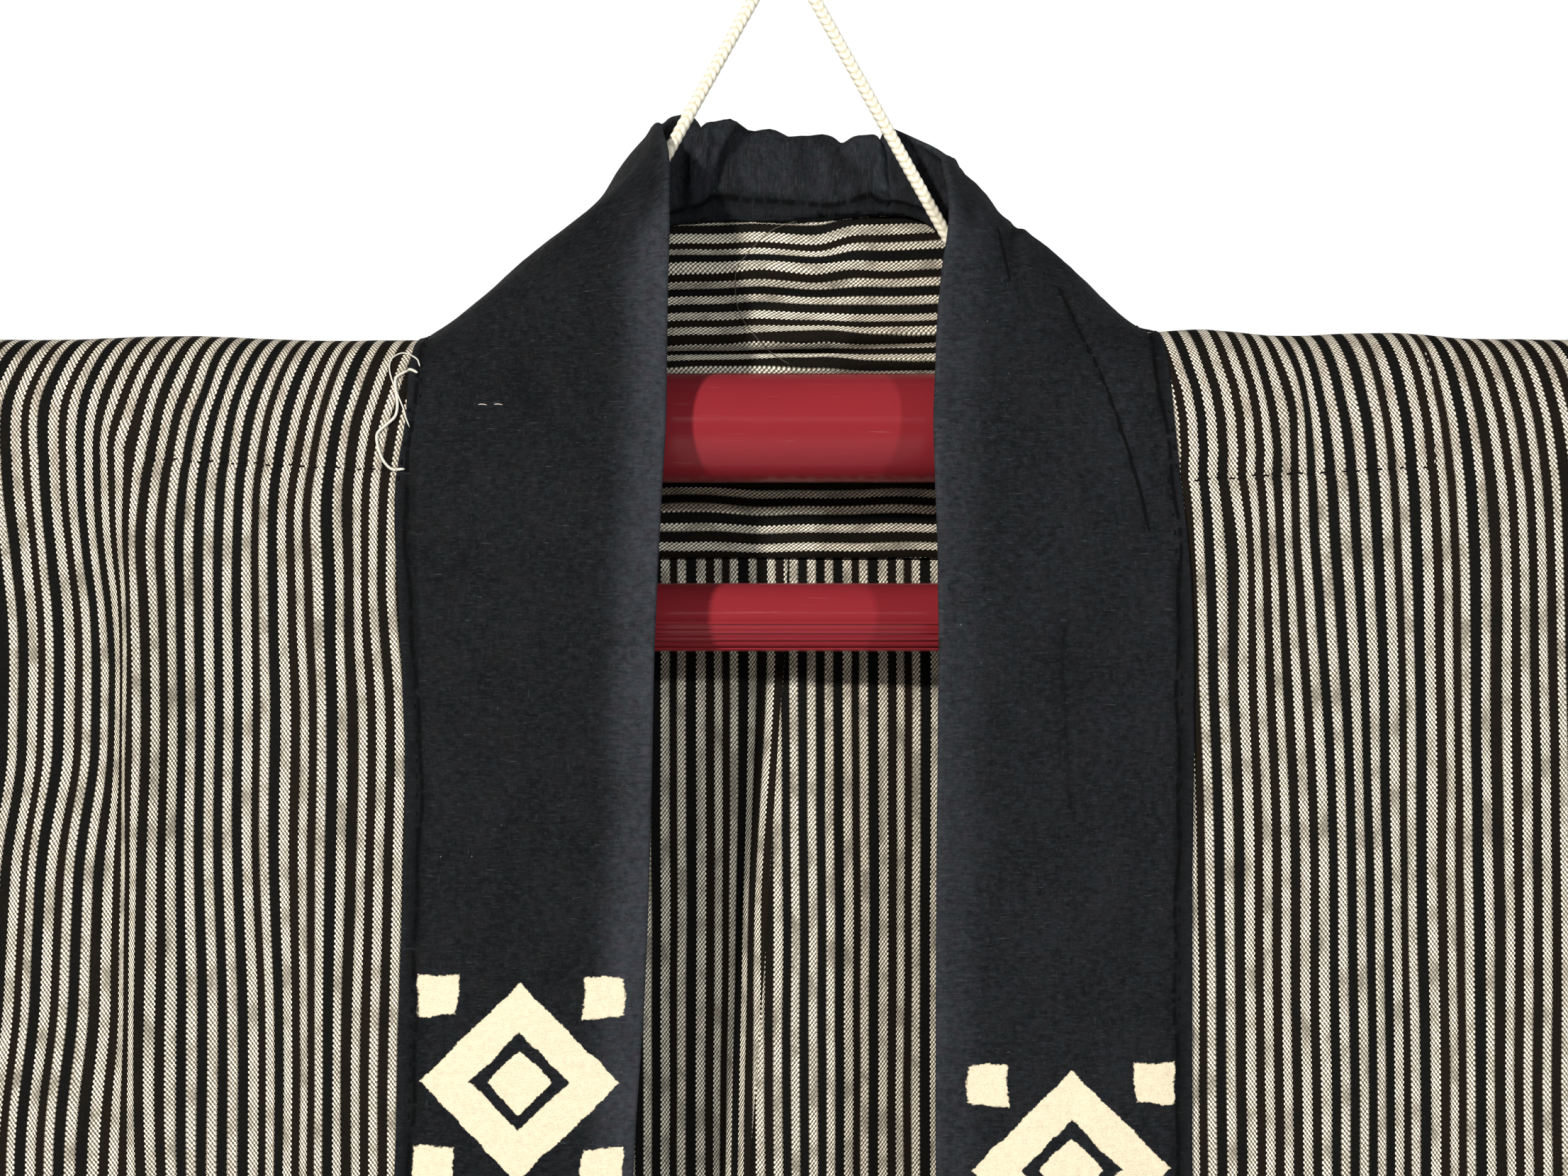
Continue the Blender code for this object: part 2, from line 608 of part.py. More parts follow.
def build_tube(collection, cutters, material):
    """The centre tube, with two slanted holes for the ends of the cord."""
    bevel = 0.0010
    profile = [
        (0.0, TUBE_HALF),
        (TUBE_RADIUS - bevel, TUBE_HALF),
        (TUBE_RADIUS, TUBE_HALF - bevel),
        (TUBE_RADIUS, -TUBE_HALF + bevel),
        (TUBE_RADIUS - bevel, -TUBE_HALF),
        (0.0, -TUBE_HALF),
    ]
    thing = turned("hanger_tube", profile, 32, collection, material)
    thing.location = (0.0, 0.0, AXIS_Z)
    thing.rotation_euler = (0.0, math.pi / 2, 0.0)
    for side in (-1, 1):
        hole, aim = strand_end(side)
        bpy.ops.mesh.primitive_cylinder_add(vertices=16, radius=CORD_HOLE_RADIUS, depth=4 * CORD_HOLE_DEPTH)
        cutter = bpy.context.active_object
        cutter.name = "cord_hole_left" if side < 0 else "cord_hole_right"
        cutter.rotation_mode = "QUATERNION"
        cutter.rotation_quaternion = Vector((0.0, 0.0, 1.0)).rotation_difference(aim)
        cutter.location = hole + aim * CORD_HOLE_DEPTH
        cutter.hide_render = True
        cutter.display_type = "WIRE"
        for home in cutter.users_collection:
            home.objects.unlink(cutter)
        cutters.objects.link(cutter)
        cut = thing.modifiers.new("Cord hole", "BOOLEAN")
        cut.operation = "DIFFERENCE"
        cut.object = cutter
    return thing


def build_arm(side, collection, material):
    """A sliding arm: a thick sleeve over the tube, solid beyond it, with a rounded tip."""
    bore = TUBE_RADIUS + SEAT_GAP
    bore_end = TUBE_HALF + SEAT_GAP
    lip = 0.0010
    profile = []
    for i in range(7):
        angle = math.pi / 2 * i / 6
        profile.append((ARM_RADIUS * math.sin(angle), ARM_END - ARM_TIP * (1.0 - math.cos(angle))))
    profile += [
        (ARM_RADIUS, ARM_START + lip),
        (ARM_RADIUS - lip, ARM_START),
        (bore, ARM_START),
        (bore, bore_end),
        (0.0, bore_end),
    ]
    name = "hanger_arm_left" if side < 0 else "hanger_arm_right"
    thing = turned(name, profile, 32, collection, material)
    thing.location = (0.0, 0.0, AXIS_Z)
    thing.rotation_euler = (0.0, side * math.pi / 2, 0.0)
    return thing


def outline_curve(name, outlines, thickness, collection, material):
    """A flat plate or bar from closed outlines in its own XY plane; later outlines are holes."""
    curve = bpy.data.curves.new(name, "CURVE")
    curve.dimensions = "2D"
    curve.fill_mode = "BOTH"
    curve.extrude = thickness / 2
    for outline in outlines:
        spline = curve.splines.new("POLY")
        spline.points.add(len(outline) - 1)
        for point, (x, y) in zip(spline.points, outline):
            point.co = (x, y, 0.0, 1.0)
        spline.use_cyclic_u = True
    return add_object(name, curve, collection, material)


def stand_along_x(thing, x, z):
    """Turn a plate's own X to world -Z and its own Y to world Y, and place it."""
    thing.rotation_euler = (0.0, math.pi / 2, 0.0)
    thing.location = (x, 0.0, z)


def build_lower_bar(collection, material):
    """The lower bar, ribbed lengthwise on its lower front and lower back."""
    outline = []
    ribs = [RIB_FIRST + RIB_STEP * i for i in range(RIB_COUNT)]
    for flank in (FRONT, BACK):
        angles = [(-90.0 + 15.0 * i, 0.0) for i in range(6)]
        for rib in ribs:
            angles += [(rib - RIB_WIDTH, 0.0), (rib, RIB_HEIGHT), (rib + RIB_WIDTH, 0.0)]
        for angle, rise in (angles if flank == FRONT else reversed(angles)):
            turn = math.radians(angle)
            radius = LOWER_BAR_RADIUS + rise
            outline.append((radius * math.sin(turn), flank * radius * math.cos(turn)))
    thing = outline_curve("hanger_lower_bar", [outline], 2 * LOWER_BAR_HALF, collection, material)
    stand_along_x(thing, 0.0, LOWER_BAR_Z)
    return thing


def ring_points(radius, centre, count, start=0.0, end=2 * math.pi):
    """Points round a circle, or an arc with both of its ends."""
    whole = math.isclose(end - start, 2 * math.pi)
    steps = count if whole else count - 1
    angles = [start + (end - start) * i / steps for i in range(count)]
    return [(centre + radius * math.cos(a), radius * math.sin(a)) for a in angles]


def build_bracket(side, collection, material):
    """A plate that rings the tube and the lower bar and holds them apart."""
    drop = AXIS_Z - LOWER_BAR_Z
    lean = math.acos((BRACKET_TOP_RADIUS - BRACKET_LOW_RADIUS) / drop)
    low = ring_points(BRACKET_LOW_RADIUS, drop, 10, -lean, lean)
    top = ring_points(BRACKET_TOP_RADIUS, 0.0, 14, lean, 2 * math.pi - lean)
    tube_hole = ring_points(TUBE_RADIUS + SEAT_GAP, 0.0, 32)
    bar_hole = ring_points(LOWER_BAR_RADIUS + RIB_HEIGHT + SEAT_GAP, drop, 20)
    name = "hanger_bracket_left" if side < 0 else "hanger_bracket_right"
    width = BRACKET_END - BRACKET_START
    thing = outline_curve(name, [low + top, tube_hole, bar_hole], width, collection, material)
    stand_along_x(thing, side * (BRACKET_START + BRACKET_END) / 2, AXIS_Z)
    return thing


def crown_touch():
    """Where a strand leaves the crown's bend, for the right side, and the bend's centre height."""
    centre_z = CORD_RADIUS - CROWN_BEND
    hole = Vector((CORD_HOLE_X, 0.0, AXIS_Z + TUBE_RADIUS))
    away = hole - Vector((0.0, 0.0, centre_z))
    spread = math.acos(CROWN_BEND / away.length)
    slope = math.atan2(away.z, away.x)
    touch = slope + spread
    return touch, centre_z


def strand_end(side):
    """Where a strand enters the tube, and the direction from there up the strand."""
    touch, centre_z = crown_touch()
    hole = Vector((CORD_HOLE_X, 0.0, AXIS_Z + TUBE_RADIUS))
    bend_point = Vector((CROWN_BEND * math.cos(touch), 0.0, centre_z + CROWN_BEND * math.sin(touch)))
    aim = (bend_point - hole).normalized()
    mirror = Vector((side, 1.0, 1.0))
    return hole * mirror, aim * mirror


def cord_route():
    """The cord's centre line from the left hole over the crown to the right hole."""
    touch, centre_z = crown_touch()
    bend_count = 8
    turn = [mix(touch, math.pi - touch, i / bend_count) for i in range(bend_count + 1)]
    crown = [Vector((CROWN_BEND * math.cos(a), 0.0, centre_z + CROWN_BEND * math.sin(a))) for a in turn]
    hole, aim = strand_end(1)
    end = hole - aim * CORD_END_DEPTH
    straight = [end.lerp(crown[0], i / 6) for i in range(6)]
    right = straight + crown
    left = [Vector((-point.x, point.y, point.z)) for point in straight]
    return left + list(reversed(crown)) + list(reversed(straight))


def build_cord(collection, material):
    """The plaited hanging cord, whole, with its loop's crown on top."""
    route = cord_route()
    curve = bpy.data.curves.new("hanging_cord", "CURVE")
    curve.dimensions = "3D"
    curve.bevel_depth = CORD_RADIUS
    curve.bevel_resolution = 2
    curve.use_fill_caps = True
    spline = curve.splines.new("POLY")
    spline.points.add(len(route) - 1)
    for point, place in zip(spline.points, route):
        point.co = (*place, 1.0)
    return add_object("hanging_cord", curve, collection, material)


def main():
    """Clear the scene and build every piece."""
    for thing in list(bpy.data.objects):
        bpy.data.objects.remove(thing, do_unlink=True)
    parts = bpy.data.collections.new(OBJECT_NAME)
    cutters = bpy.data.collections.new("cutters")
    bpy.context.scene.collection.children.link(parts)
    bpy.context.scene.collection.children.link(cutters)

    stripe = make_material("striped_cotton", (0.36, 0.32, 0.26), 0.90)
    navy = make_material("navy_cotton", (0.022, 0.030, 0.042), 0.92)
    red = make_material("red_plastic", (0.42, 0.022, 0.040), 0.30)
    white = make_material("white_cord", (0.82, 0.80, 0.74), 0.85)

    for side in (-1, 1):
        build_body(side, parts, stripe)
        build_sleeve(side, parts, stripe)
    build_backing(parts, stripe)
    build_collar(parts, navy)
    build_tube(parts, cutters, red)
    build_lower_bar(parts, red)
    for side in (-1, 1):
        build_arm(side, parts, red)
        build_bracket(side, parts, red)
    build_cord(parts, white)


main()
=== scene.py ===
"""Striped happi coat on a kimono hanger: the finish of every surface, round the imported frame.

Metres, +Z up. The coat's front faces -Y and +X is to its viewer's right. The origin is the crown
of the hanger's cord loop.
"""

import logging
import math
from dataclasses import astuple, dataclass, field
from enum import Enum

import bmesh
import bpy
import numpy as np
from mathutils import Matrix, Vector, noise
from mathutils.bvhtree import BVHTree


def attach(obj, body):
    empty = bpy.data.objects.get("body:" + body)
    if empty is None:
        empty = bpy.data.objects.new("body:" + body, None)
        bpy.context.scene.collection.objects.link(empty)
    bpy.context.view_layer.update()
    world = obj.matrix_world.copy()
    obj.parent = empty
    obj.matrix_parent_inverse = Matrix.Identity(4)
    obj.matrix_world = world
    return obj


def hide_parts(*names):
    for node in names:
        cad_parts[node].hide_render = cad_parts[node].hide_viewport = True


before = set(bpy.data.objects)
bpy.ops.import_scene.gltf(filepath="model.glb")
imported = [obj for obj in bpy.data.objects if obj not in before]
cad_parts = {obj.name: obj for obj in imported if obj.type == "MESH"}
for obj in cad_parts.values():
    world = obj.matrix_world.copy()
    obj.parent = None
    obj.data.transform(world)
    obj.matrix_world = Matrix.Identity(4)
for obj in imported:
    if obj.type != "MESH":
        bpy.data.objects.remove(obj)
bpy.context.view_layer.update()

LOG = logging.getLogger("happi_coat")
BODY = "root"
CLOTH_MAP = "Cloth"
# Stored per point: real fading and tints, and the painted shade and light of creases, stitch grooves and
# cord strands.
WEAR_AND_SHADE_MAP = "Wear"
MOTIF_MAP = "Motif"
STITCH_MAP = "Stitch"
PHOTO_WIDTH = 2212
PHOTO_HEIGHT = 1659
Socket = bpy.types.NodeSocket
Value = Socket | float | tuple
Numbers = np.ndarray | float


class Side(Enum):
    """Which half of the coat, as its viewer sees it."""

    LEFT = -1
    RIGHT = 1

    @property
    def word(self) -> str:
        """The side's name as part of a piece's name."""
        return self.name.lower()


class Face(Enum):
    """Which face of the coat."""

    FRONT = -1
    BACK = 1


@dataclass(frozen=True)
class EdgeRow:
    """One height of a front: where the collar is sewn on and where its free edge hangs."""

    z: float
    seam_x: float
    free_x: float
    free_lift: float


@dataclass(frozen=True)
class NeckRow:
    """One section of the collar round the neck."""

    seam_x: float
    seam_y: float
    seam_z: float
    crest_x: float
    crest_y: float
    crest_z: float
    free_x: float
    free_y: float
    free_z: float


@dataclass(frozen=True)
class PathRow:
    """One height of a line that runs down the coat."""

    z: float
    x: float


@dataclass(frozen=True)
class RidgeRow:
    """One place along the shoulder fold."""

    x: float
    z: float


@dataclass(frozen=True)
class Fold:
    """A soft ridge (+) or trough (-) that runs down one face of the coat."""

    face: Face
    x_top: float
    z_top: float
    x_bottom: float
    z_bottom: float
    left: float
    right: float
    height: float


@dataclass(frozen=True)
class Wrinkle:
    """A wrinkle across the backing, with its own softness above and below."""

    x_start: float
    x_end: float
    z_start: float
    z_end: float
    below: float
    above: float
    height: float


@dataclass(frozen=True)
class SleeveFold:
    """A soft ridge or trough of a sleeve, by its distance from the armhole."""

    side: Side
    face: Face
    reach: float
    width: float
    height: float


@dataclass(frozen=True)
class LeanRow:
    """How far the stripes of a front stand aside at one height, in millimetres, in four lanes."""

    z: float
    lane_a: float
    lane_b: float
    lane_c: float
    lane_d: float


@dataclass(frozen=True)
class StripeNudge:
    """A place where a front's stripes are pulled aside, in metres."""

    x: float
    z: float
    wide: float
    tall: float
    shift: float


def rows(kind: type, *table: tuple) -> tuple:
    """A table's rows as records of one kind."""
    return tuple(kind(*row) for row in table)


SHOULDER_Z = -0.0872
STRIPE_NUDGES = rows(
    StripeNudge,
    (-0.1130, -0.1300, 0.0070, 0.0130, -0.0009), (-0.1040, -0.1480, 0.0050, 0.0160, 0.0011),
    (-0.1560, -0.1130, 0.0045, 0.0070, -0.0016), (-0.1360, -0.1010, 0.0060, 0.0060, 0.0010),
    (0.1190, -0.1040, 0.0035, 0.0100, 0.0016), (0.1060, -0.1400, 0.0030, 0.0140, 0.0012),
    (0.1660, -0.1900, 0.0080, 0.0300, -0.0009),
)
LEFT_EDGE = rows(
    EdgeRow,
    (-0.0872, -0.0868, -0.0270, 0.0020), (-0.0960, -0.0874, -0.0271, 0.0025),
    (-0.1084, -0.0884, -0.0272, 0.0030), (-0.1241, -0.0907, -0.0280, 0.0035),
    (-0.1586, -0.0895, -0.0293, 0.0040), (-0.1914, -0.0887, -0.0302, 0.0040),
    (-0.2405, -0.0900, -0.0322, 0.0030), (-0.2830, -0.0911, -0.0349, 0.0020),
    (-0.4417, -0.0985, -0.0400, 0.0010), (-0.6417, -0.1060, -0.0455, 0.0030),
    (-0.8672, -0.1120, -0.0510, 0.0045),
)
RIGHT_EDGE = rows(
    EdgeRow,
    (-0.0872, 0.0893, 0.0346, 0.0020), (-0.0930, 0.0895, 0.0345, 0.0022), (-0.1084, 0.0914, 0.0344, 0.0030),
    (-0.1422, 0.0949, 0.0351, 0.0040), (-0.1750, 0.0957, 0.0351, 0.0040), (-0.2241, 0.0954, 0.0351, 0.0030),
    (-0.2830, 0.0957, 0.0351, 0.0025), (-0.4417, 0.0975, 0.0370, 0.0015), (-0.6417, 0.1000, 0.0398, 0.0030),
    (-0.8672, 0.1040, 0.0435, 0.0045),
)
NECK = rows(
    NeckRow,
    (-0.0868, 0.0000, -0.0882, -0.0790, -0.0050, -0.0838, -0.0268, -0.0220, -0.0757),
    (-0.0790, 0.0090, -0.0827, -0.0695, 0.0000, -0.0760, -0.0266, -0.0195, -0.0627),
    (-0.0670, 0.0150, -0.0762, -0.0575, 0.0000, -0.0665, -0.0266, -0.0160, -0.0517),
    (-0.0540, 0.0180, -0.0672, -0.0470, 0.0020, -0.0586, -0.0272, -0.0110, -0.0427),
    (-0.0420, 0.0195, -0.0597, -0.0395, 0.0070, -0.0477, -0.0288, -0.0030, -0.0362),
    (-0.0330, 0.0200, -0.0559, -0.0335, 0.0145, -0.0453, -0.0293, 0.0090, -0.0333),
    (-0.0260, 0.0200, -0.0548, -0.0275, 0.0188, -0.0362, -0.0268, 0.0190, -0.0288),
    (-0.0220, 0.0200, -0.0547, -0.0222, 0.0208, -0.0322, -0.0226, 0.0222, -0.0289),
    (-0.0180, 0.0199, -0.0545, -0.0180, 0.0220, -0.0310, -0.0185, 0.0260, -0.0365),
    (-0.0090, 0.0197, -0.0545, -0.0090, 0.0235, -0.0320, -0.0090, 0.0283, -0.0507),
    (0.0010, 0.0195, -0.0549, 0.0010, 0.0240, -0.0338, 0.0010, 0.0290, -0.0567),
    (0.0110, 0.0197, -0.0543, 0.0110, 0.0236, -0.0334, 0.0110, 0.0286, -0.0547),
    (0.0150, 0.0198, -0.0538, 0.0150, 0.0231, -0.0353, 0.0152, 0.0280, -0.0520),
    (0.0210, 0.0199, -0.0531, 0.0210, 0.0222, -0.0345, 0.0213, 0.0262, -0.0430),
    (0.0240, 0.0200, -0.0530, 0.0240, 0.0212, -0.0352, 0.0240, 0.0235, -0.0350),
    (0.0262, 0.0200, -0.0529, 0.0262, 0.0205, -0.0375, 0.0258, 0.0215, -0.0313),
    (0.0300, 0.0200, -0.0527, 0.0300, 0.0190, -0.0410, 0.0297, 0.0195, -0.0330),
    (0.0380, 0.0200, -0.0545, 0.0395, 0.0150, -0.0470, 0.0372, 0.0095, -0.0402),
    (0.0470, 0.0195, -0.0587, 0.0475, 0.0070, -0.0502, 0.0378, -0.0030, -0.0462),
    (0.0580, 0.0180, -0.0662, 0.0545, 0.0030, -0.0599, 0.0385, -0.0100, -0.0537),
    (0.0700, 0.0150, -0.0747, 0.0630, 0.0000, -0.0659, 0.0382, -0.0160, -0.0627),
    (0.0815, 0.0090, -0.0832, 0.0730, 0.0005, -0.0746, 0.0366, -0.0195, -0.0727),
    (0.0893, 0.0000, -0.0868, 0.0825, -0.0045, -0.0866, 0.0353, -0.0220, -0.0847),
)
RIDGE = rows(
    RidgeRow,
    (-0.1750, SHOULDER_Z), (-0.1430, SHOULDER_Z + 0.0009), (-0.1200, SHOULDER_Z), (-0.0868, SHOULDER_Z),
    (0.0893, SHOULDER_Z + 0.0019), (0.1020, SHOULDER_Z + 0.0024), (0.1180, SHOULDER_Z + 0.0012),
    (0.1500, SHOULDER_Z + 0.0016), (0.1640, SHOULDER_Z + 0.0005), (0.1900, SHOULDER_Z),
)
CENTRE_BACK = rows(
    PathRow,
    (-0.0517, 0.0010), (-0.1417, 0.0010), (-0.2117, -0.0029), (-0.4317, -0.0150), (-0.6417, -0.0060),
    (-0.8672, 0.0000),
)
FOLDS = rows(
    Fold,
    (Face.FRONT, -0.1500, -0.1067, -0.1510, -0.2167, 0.0060, 0.0090, 0.0040),
    (Face.FRONT, -0.1380, -0.1167, -0.1360, -0.2917, 0.0060, 0.0090, -0.0022),
    (Face.FRONT, -0.1150, -0.1317, -0.1080, -0.4117, 0.0100, 0.0110, 0.0025),
    (Face.FRONT, -0.1500, -0.2717, -0.1640, -0.9417, 0.0220, 0.0180, 0.0100),
    (Face.FRONT, -0.2080, -0.2517, -0.2180, -0.9417, 0.0200, 0.0220, -0.0060),
    (Face.FRONT, -0.2560, -0.3517, -0.2600, -0.9417, 0.0140, 0.0170, 0.0050),
    (Face.FRONT, 0.1240, -0.1417, 0.1300, -0.3817, 0.0100, 0.0110, 0.0028),
    (Face.FRONT, 0.1500, -0.1167, 0.1480, -0.3417, 0.0090, 0.0080, -0.0024),
    (Face.FRONT, 0.1860, -0.2317, 0.1990, -0.9417, 0.0200, 0.0240, 0.0110),
    (Face.FRONT, 0.2400, -0.2917, 0.2440, -0.9417, 0.0170, 0.0150, -0.0055),
    (Face.FRONT, 0.1400, -0.4217, 0.1480, -0.9417, 0.0130, 0.0140, -0.0050),
    (Face.BACK, 0.0010, -0.1417, -0.0150, -0.4317, 0.0055, 0.0300, -0.0085),
    (Face.BACK, -0.0700, -0.2117, -0.0780, -0.9417, 0.0240, 0.0200, 0.0090),
    (Face.BACK, -0.1350, -0.2517, -0.1450, -0.9417, 0.0200, 0.0220, -0.0060),
    (Face.BACK, -0.2020, -0.2217, -0.2100, -0.9417, 0.0210, 0.0200, 0.0085),
    (Face.BACK, 0.0200, -0.3917, 0.0130, -0.9417, 0.0200, 0.0190, -0.0055),
    (Face.BACK, 0.0850, -0.1917, 0.0930, -0.9417, 0.0230, 0.0210, 0.0095),
    (Face.BACK, 0.1480, -0.2617, 0.1580, -0.9417, 0.0180, 0.0200, -0.0060),
    (Face.BACK, 0.2120, -0.2317, 0.2200, -0.9417, 0.0220, 0.0180, 0.0080),
)
BACKING_WRINKLES = rows(
    Wrinkle,
    (-0.050, 0.022, -0.0672, -0.0690, 0.0042, 0.0038, 0.0043),
    (-0.050, 0.022, -0.0858, -0.0866, 0.0012, 0.0060, 0.0030),
    (-0.010, 0.055, -0.0862, -0.0828, 0.0014, 0.0026, 0.0030),
    (-0.006, 0.055, -0.0920, -0.0902, 0.0015, 0.0018, 0.0023),
    (-0.050, 0.012, -0.0935, -0.0922, 0.0018, 0.0026, 0.0018),
    (-0.040, 0.045, -0.1270, -0.1250, 0.0040, 0.0045, 0.0012),
)
# Finer creases that only the finished cloth has.
CREASES = rows(
    Fold,
    (Face.FRONT, -0.1490, -0.1130, -0.1505, -0.3000, 0.0032, 0.0200, 0.0052),
    (Face.FRONT, -0.1120, -0.1180, -0.1140, -0.1720, 0.0050, 0.0060, 0.0010),
    (Face.FRONT, 0.1030, -0.0900, 0.1180, -0.1250, 0.0016, 0.0050, 0.0016),
    (Face.FRONT, 0.1075, -0.1150, 0.1085, -0.1750, 0.0022, 0.0060, 0.0014),
    (Face.FRONT, -0.1610, -0.1000, -0.1640, -0.1700, 0.0030, 0.0040, -0.0012),
    (Face.FRONT, -0.1690, -0.0980, -0.1740, -0.2600, 0.0050, 0.0060, 0.0012),
    (Face.FRONT, -0.1250, -0.0960, -0.1230, -0.1500, 0.0035, 0.0050, 0.0009),
    (Face.FRONT, -0.1010, -0.1080, -0.1000, -0.1620, 0.0030, 0.0040, -0.0012),
    (Face.FRONT, -0.1290, -0.1900, -0.1320, -0.3600, 0.0060, 0.0070, 0.0014),
    (Face.FRONT, 0.1100, -0.0980, 0.1150, -0.1600, 0.0035, 0.0045, 0.0010),
    (Face.FRONT, 0.1350, -0.1000, 0.1390, -0.2200, 0.0040, 0.0050, -0.0010),
    (Face.FRONT, 0.1690, -0.0950, 0.1720, -0.2400, 0.0050, 0.0060, 0.0013),
    (Face.FRONT, 0.1150, -0.2000, 0.1180, -0.3400, 0.0060, 0.0060, 0.0012),
    (Face.BACK, -0.1100, -0.1000, -0.1180, -0.3000, 0.0060, 0.0070, 0.0014),
    (Face.BACK, 0.1220, -0.1050, 0.1290, -0.3200, 0.0060, 0.0080, 0.0015),
    (Face.BACK, -0.2500, -0.1400, -0.2560, -0.5200, 0.0070, 0.0060, -0.0016),
    (Face.BACK, 0.2560, -0.1500, 0.2610, -0.5600, 0.0060, 0.0080, -0.0015),
    (Face.BACK, 0.0420, -0.1700, 0.0460, -0.4300, 0.0070, 0.0080, 0.0014),
    (Face.BACK, -0.0320, -0.1800, -0.0360, -0.4200, 0.0050, 0.0060, 0.0012),
)
SLEEVE_FOLDS = rows(
    SleeveFold,
    (Side.LEFT, Face.FRONT, 0.060, 0.016, 0.0050), (Side.LEFT, Face.FRONT, 0.135, 0.020, -0.0040),
    (Side.LEFT, Face.FRONT, 0.215, 0.022, 0.0060), (Side.LEFT, Face.BACK, 0.085, 0.019, 0.0050),
    (Side.LEFT, Face.BACK, 0.180, 0.021, -0.0040), (Side.LEFT, Face.BACK, 0.260, 0.018, 0.0045),
    (Side.RIGHT, Face.FRONT, 0.075, 0.019, 0.0055), (Side.RIGHT, Face.FRONT, 0.155, 0.018, -0.0040),
    (Side.RIGHT, Face.FRONT, 0.235, 0.021, 0.0050), (Side.RIGHT, Face.BACK, 0.060, 0.017, 0.0045),
    (Side.RIGHT, Face.BACK, 0.150, 0.022, -0.0045), (Side.RIGHT, Face.BACK, 0.240, 0.020, 0.0055),
)
STRIPE_PITCH = 0.00440
STITCHED = ((-0.1480, -0.1170), (-0.0905, -0.1198), (0.0950, -0.1219), (0.1515, -0.1187))
LEFT_LANES = (-0.1720, -0.1540, -0.1250, -0.0990)
LEFT_LEAN = rows(
    LeanRow,
    (-0.0872, 7.5, 8.0, 8.5, 6.5), (-0.0960, 5.3, 5.6, 6.2, 4.4), (-0.1030, 3.6, 3.9, 4.3, 2.8),
    (-0.1090, 3.0, 2.9, 3.0, 1.2), (-0.1220, 2.8, 1.0, 0.9, -0.7), (-0.1360, 2.0, 0.0, 0.2, -1.3),
    (-0.1500, 1.7, 0.7, 0.0, -1.3), (-0.1750, 1.3, 1.0, 0.2, 0.2), (-0.2080, 0.5, 0.2, 0.2, 0.0),
    (-0.2410, -1.3, -0.5, 1.5, -0.7), (-0.2730, -2.5, -0.8, 1.5, -1.2), (-0.3300, -2.0, -0.5, 0.8, -1.8),
)
RIGHT_LANES = (0.1060, 0.1220, 0.1420, 0.1700)
RIGHT_LEAN = rows(
    LeanRow,
    (-0.0872, -7.6, -8.6, -7.2, -8.2), (-0.0960, -6.2, -7.4, -5.9, -6.7), (-0.1030, -5.1, -6.6, -5.1, -5.6),
    (-0.1090, -4.6, -5.6, -4.1, -4.4), (-0.1220, -3.6, -4.3, -2.8, -2.6), (-0.1360, -2.6, -3.8, -2.0, -1.8),
    (-0.1500, -1.8, -2.8, -1.3, -1.3), (-0.1750, -1.0, -1.6, -0.5, -0.7), (-0.2080, -0.2, -0.7, 0.0, -0.2),
    (-0.2410, 0.2, -0.7, 0.5, 0.2), (-0.2730, 0.5, 0.0, 1.0, 0.2), (-0.3300, 1.2, 0.4, 1.3, 0.4),
)


def smooth(value: Numbers) -> Numbers:
    """An eased step from 0 to 1."""
    t = np.clip(value, 0.0, 1.0)
    return t * t * (3.0 - 2.0 * t)


def mix(a: Numbers, b: Numbers, t: Numbers) -> Numbers:
    """Straight interpolation."""
    return a + (b - a) * t


def hermite(start: Numbers, end: Numbers, leave: Numbers, arrive: Numbers, t: Numbers) -> Numbers:
    """A smooth curve between two values with given slopes at its ends.

    Args:
        start: Value at the start.
        end: Value at the end.
        leave: Slope at the start.
        arrive: Slope at the end.
        t: Share of the way.

    Returns:
        The curve's values.
    """
    rest = 1.0 - t
    ends = start * ((1.0 + 2.0 * t) * rest * rest) + end * (t * t * (3.0 - 2.0 * t))
    return ends + leave * (t * rest * rest) - arrive * (t * t * rest)


def read_rows(table: tuple, key: str, column: str, at: np.ndarray) -> np.ndarray:
    """Read a table along a smooth curve.

    Args:
        table: Rows of one dataclass.
        key: The column that is looked up, rising or falling.
        column: The column that is read.
        at: Where to read it.

    Returns:
        The values, held level beyond the table's ends.
    """
    rows = sorted(table, key=lambda row: getattr(row, key))
    keys = np.array([getattr(row, key) for row in rows])
    values = np.array([getattr(row, column) for row in rows])
    last = len(rows) - 1
    place = np.arange(last + 1)
    low = np.maximum(place - 1, 0)
    high = np.minimum(place + 1, last)
    slopes = (values[high] - values[low]) / (keys[high] - keys[low])
    at = np.clip(at, keys[0], keys[-1])
    i = np.clip(np.searchsorted(keys, at, side="right") - 1, 0, last - 1)
    span = keys[i + 1] - keys[i]
    t = (at - keys[i]) / span
    return hermite(values[i], values[i + 1], slopes[i] * span, slopes[i + 1] * span, t)


def ripple(points: np.ndarray, scale: tuple[float, float, float], seed: float) -> np.ndarray:
    """Smooth noise from -1 to 1 at each point.

    Args:
        points: An array of points, any shape, with x, y, z last.
        scale: Cycles a metre along x, y and z.
        seed: An offset that gives another pattern.

    Returns:
        The noise, in the shape of the points.
    """
    flat = points.reshape(-1, 3)
    values = [
        noise.noise(Vector((p[0] * scale[0] + seed, p[1] * scale[1] + seed, p[2] * scale[2] + seed)))
        for p in flat
    ]
    return np.array(values).reshape(points.shape[:-1])


def spaced(start: float, end: float, step: float) -> list[float]:
    """Values from start up to but not including end, about a step apart."""
    count = max(int(round(abs(end - start) / step)), 1)
    return [start + (end - start) * i / count for i in range(count)]


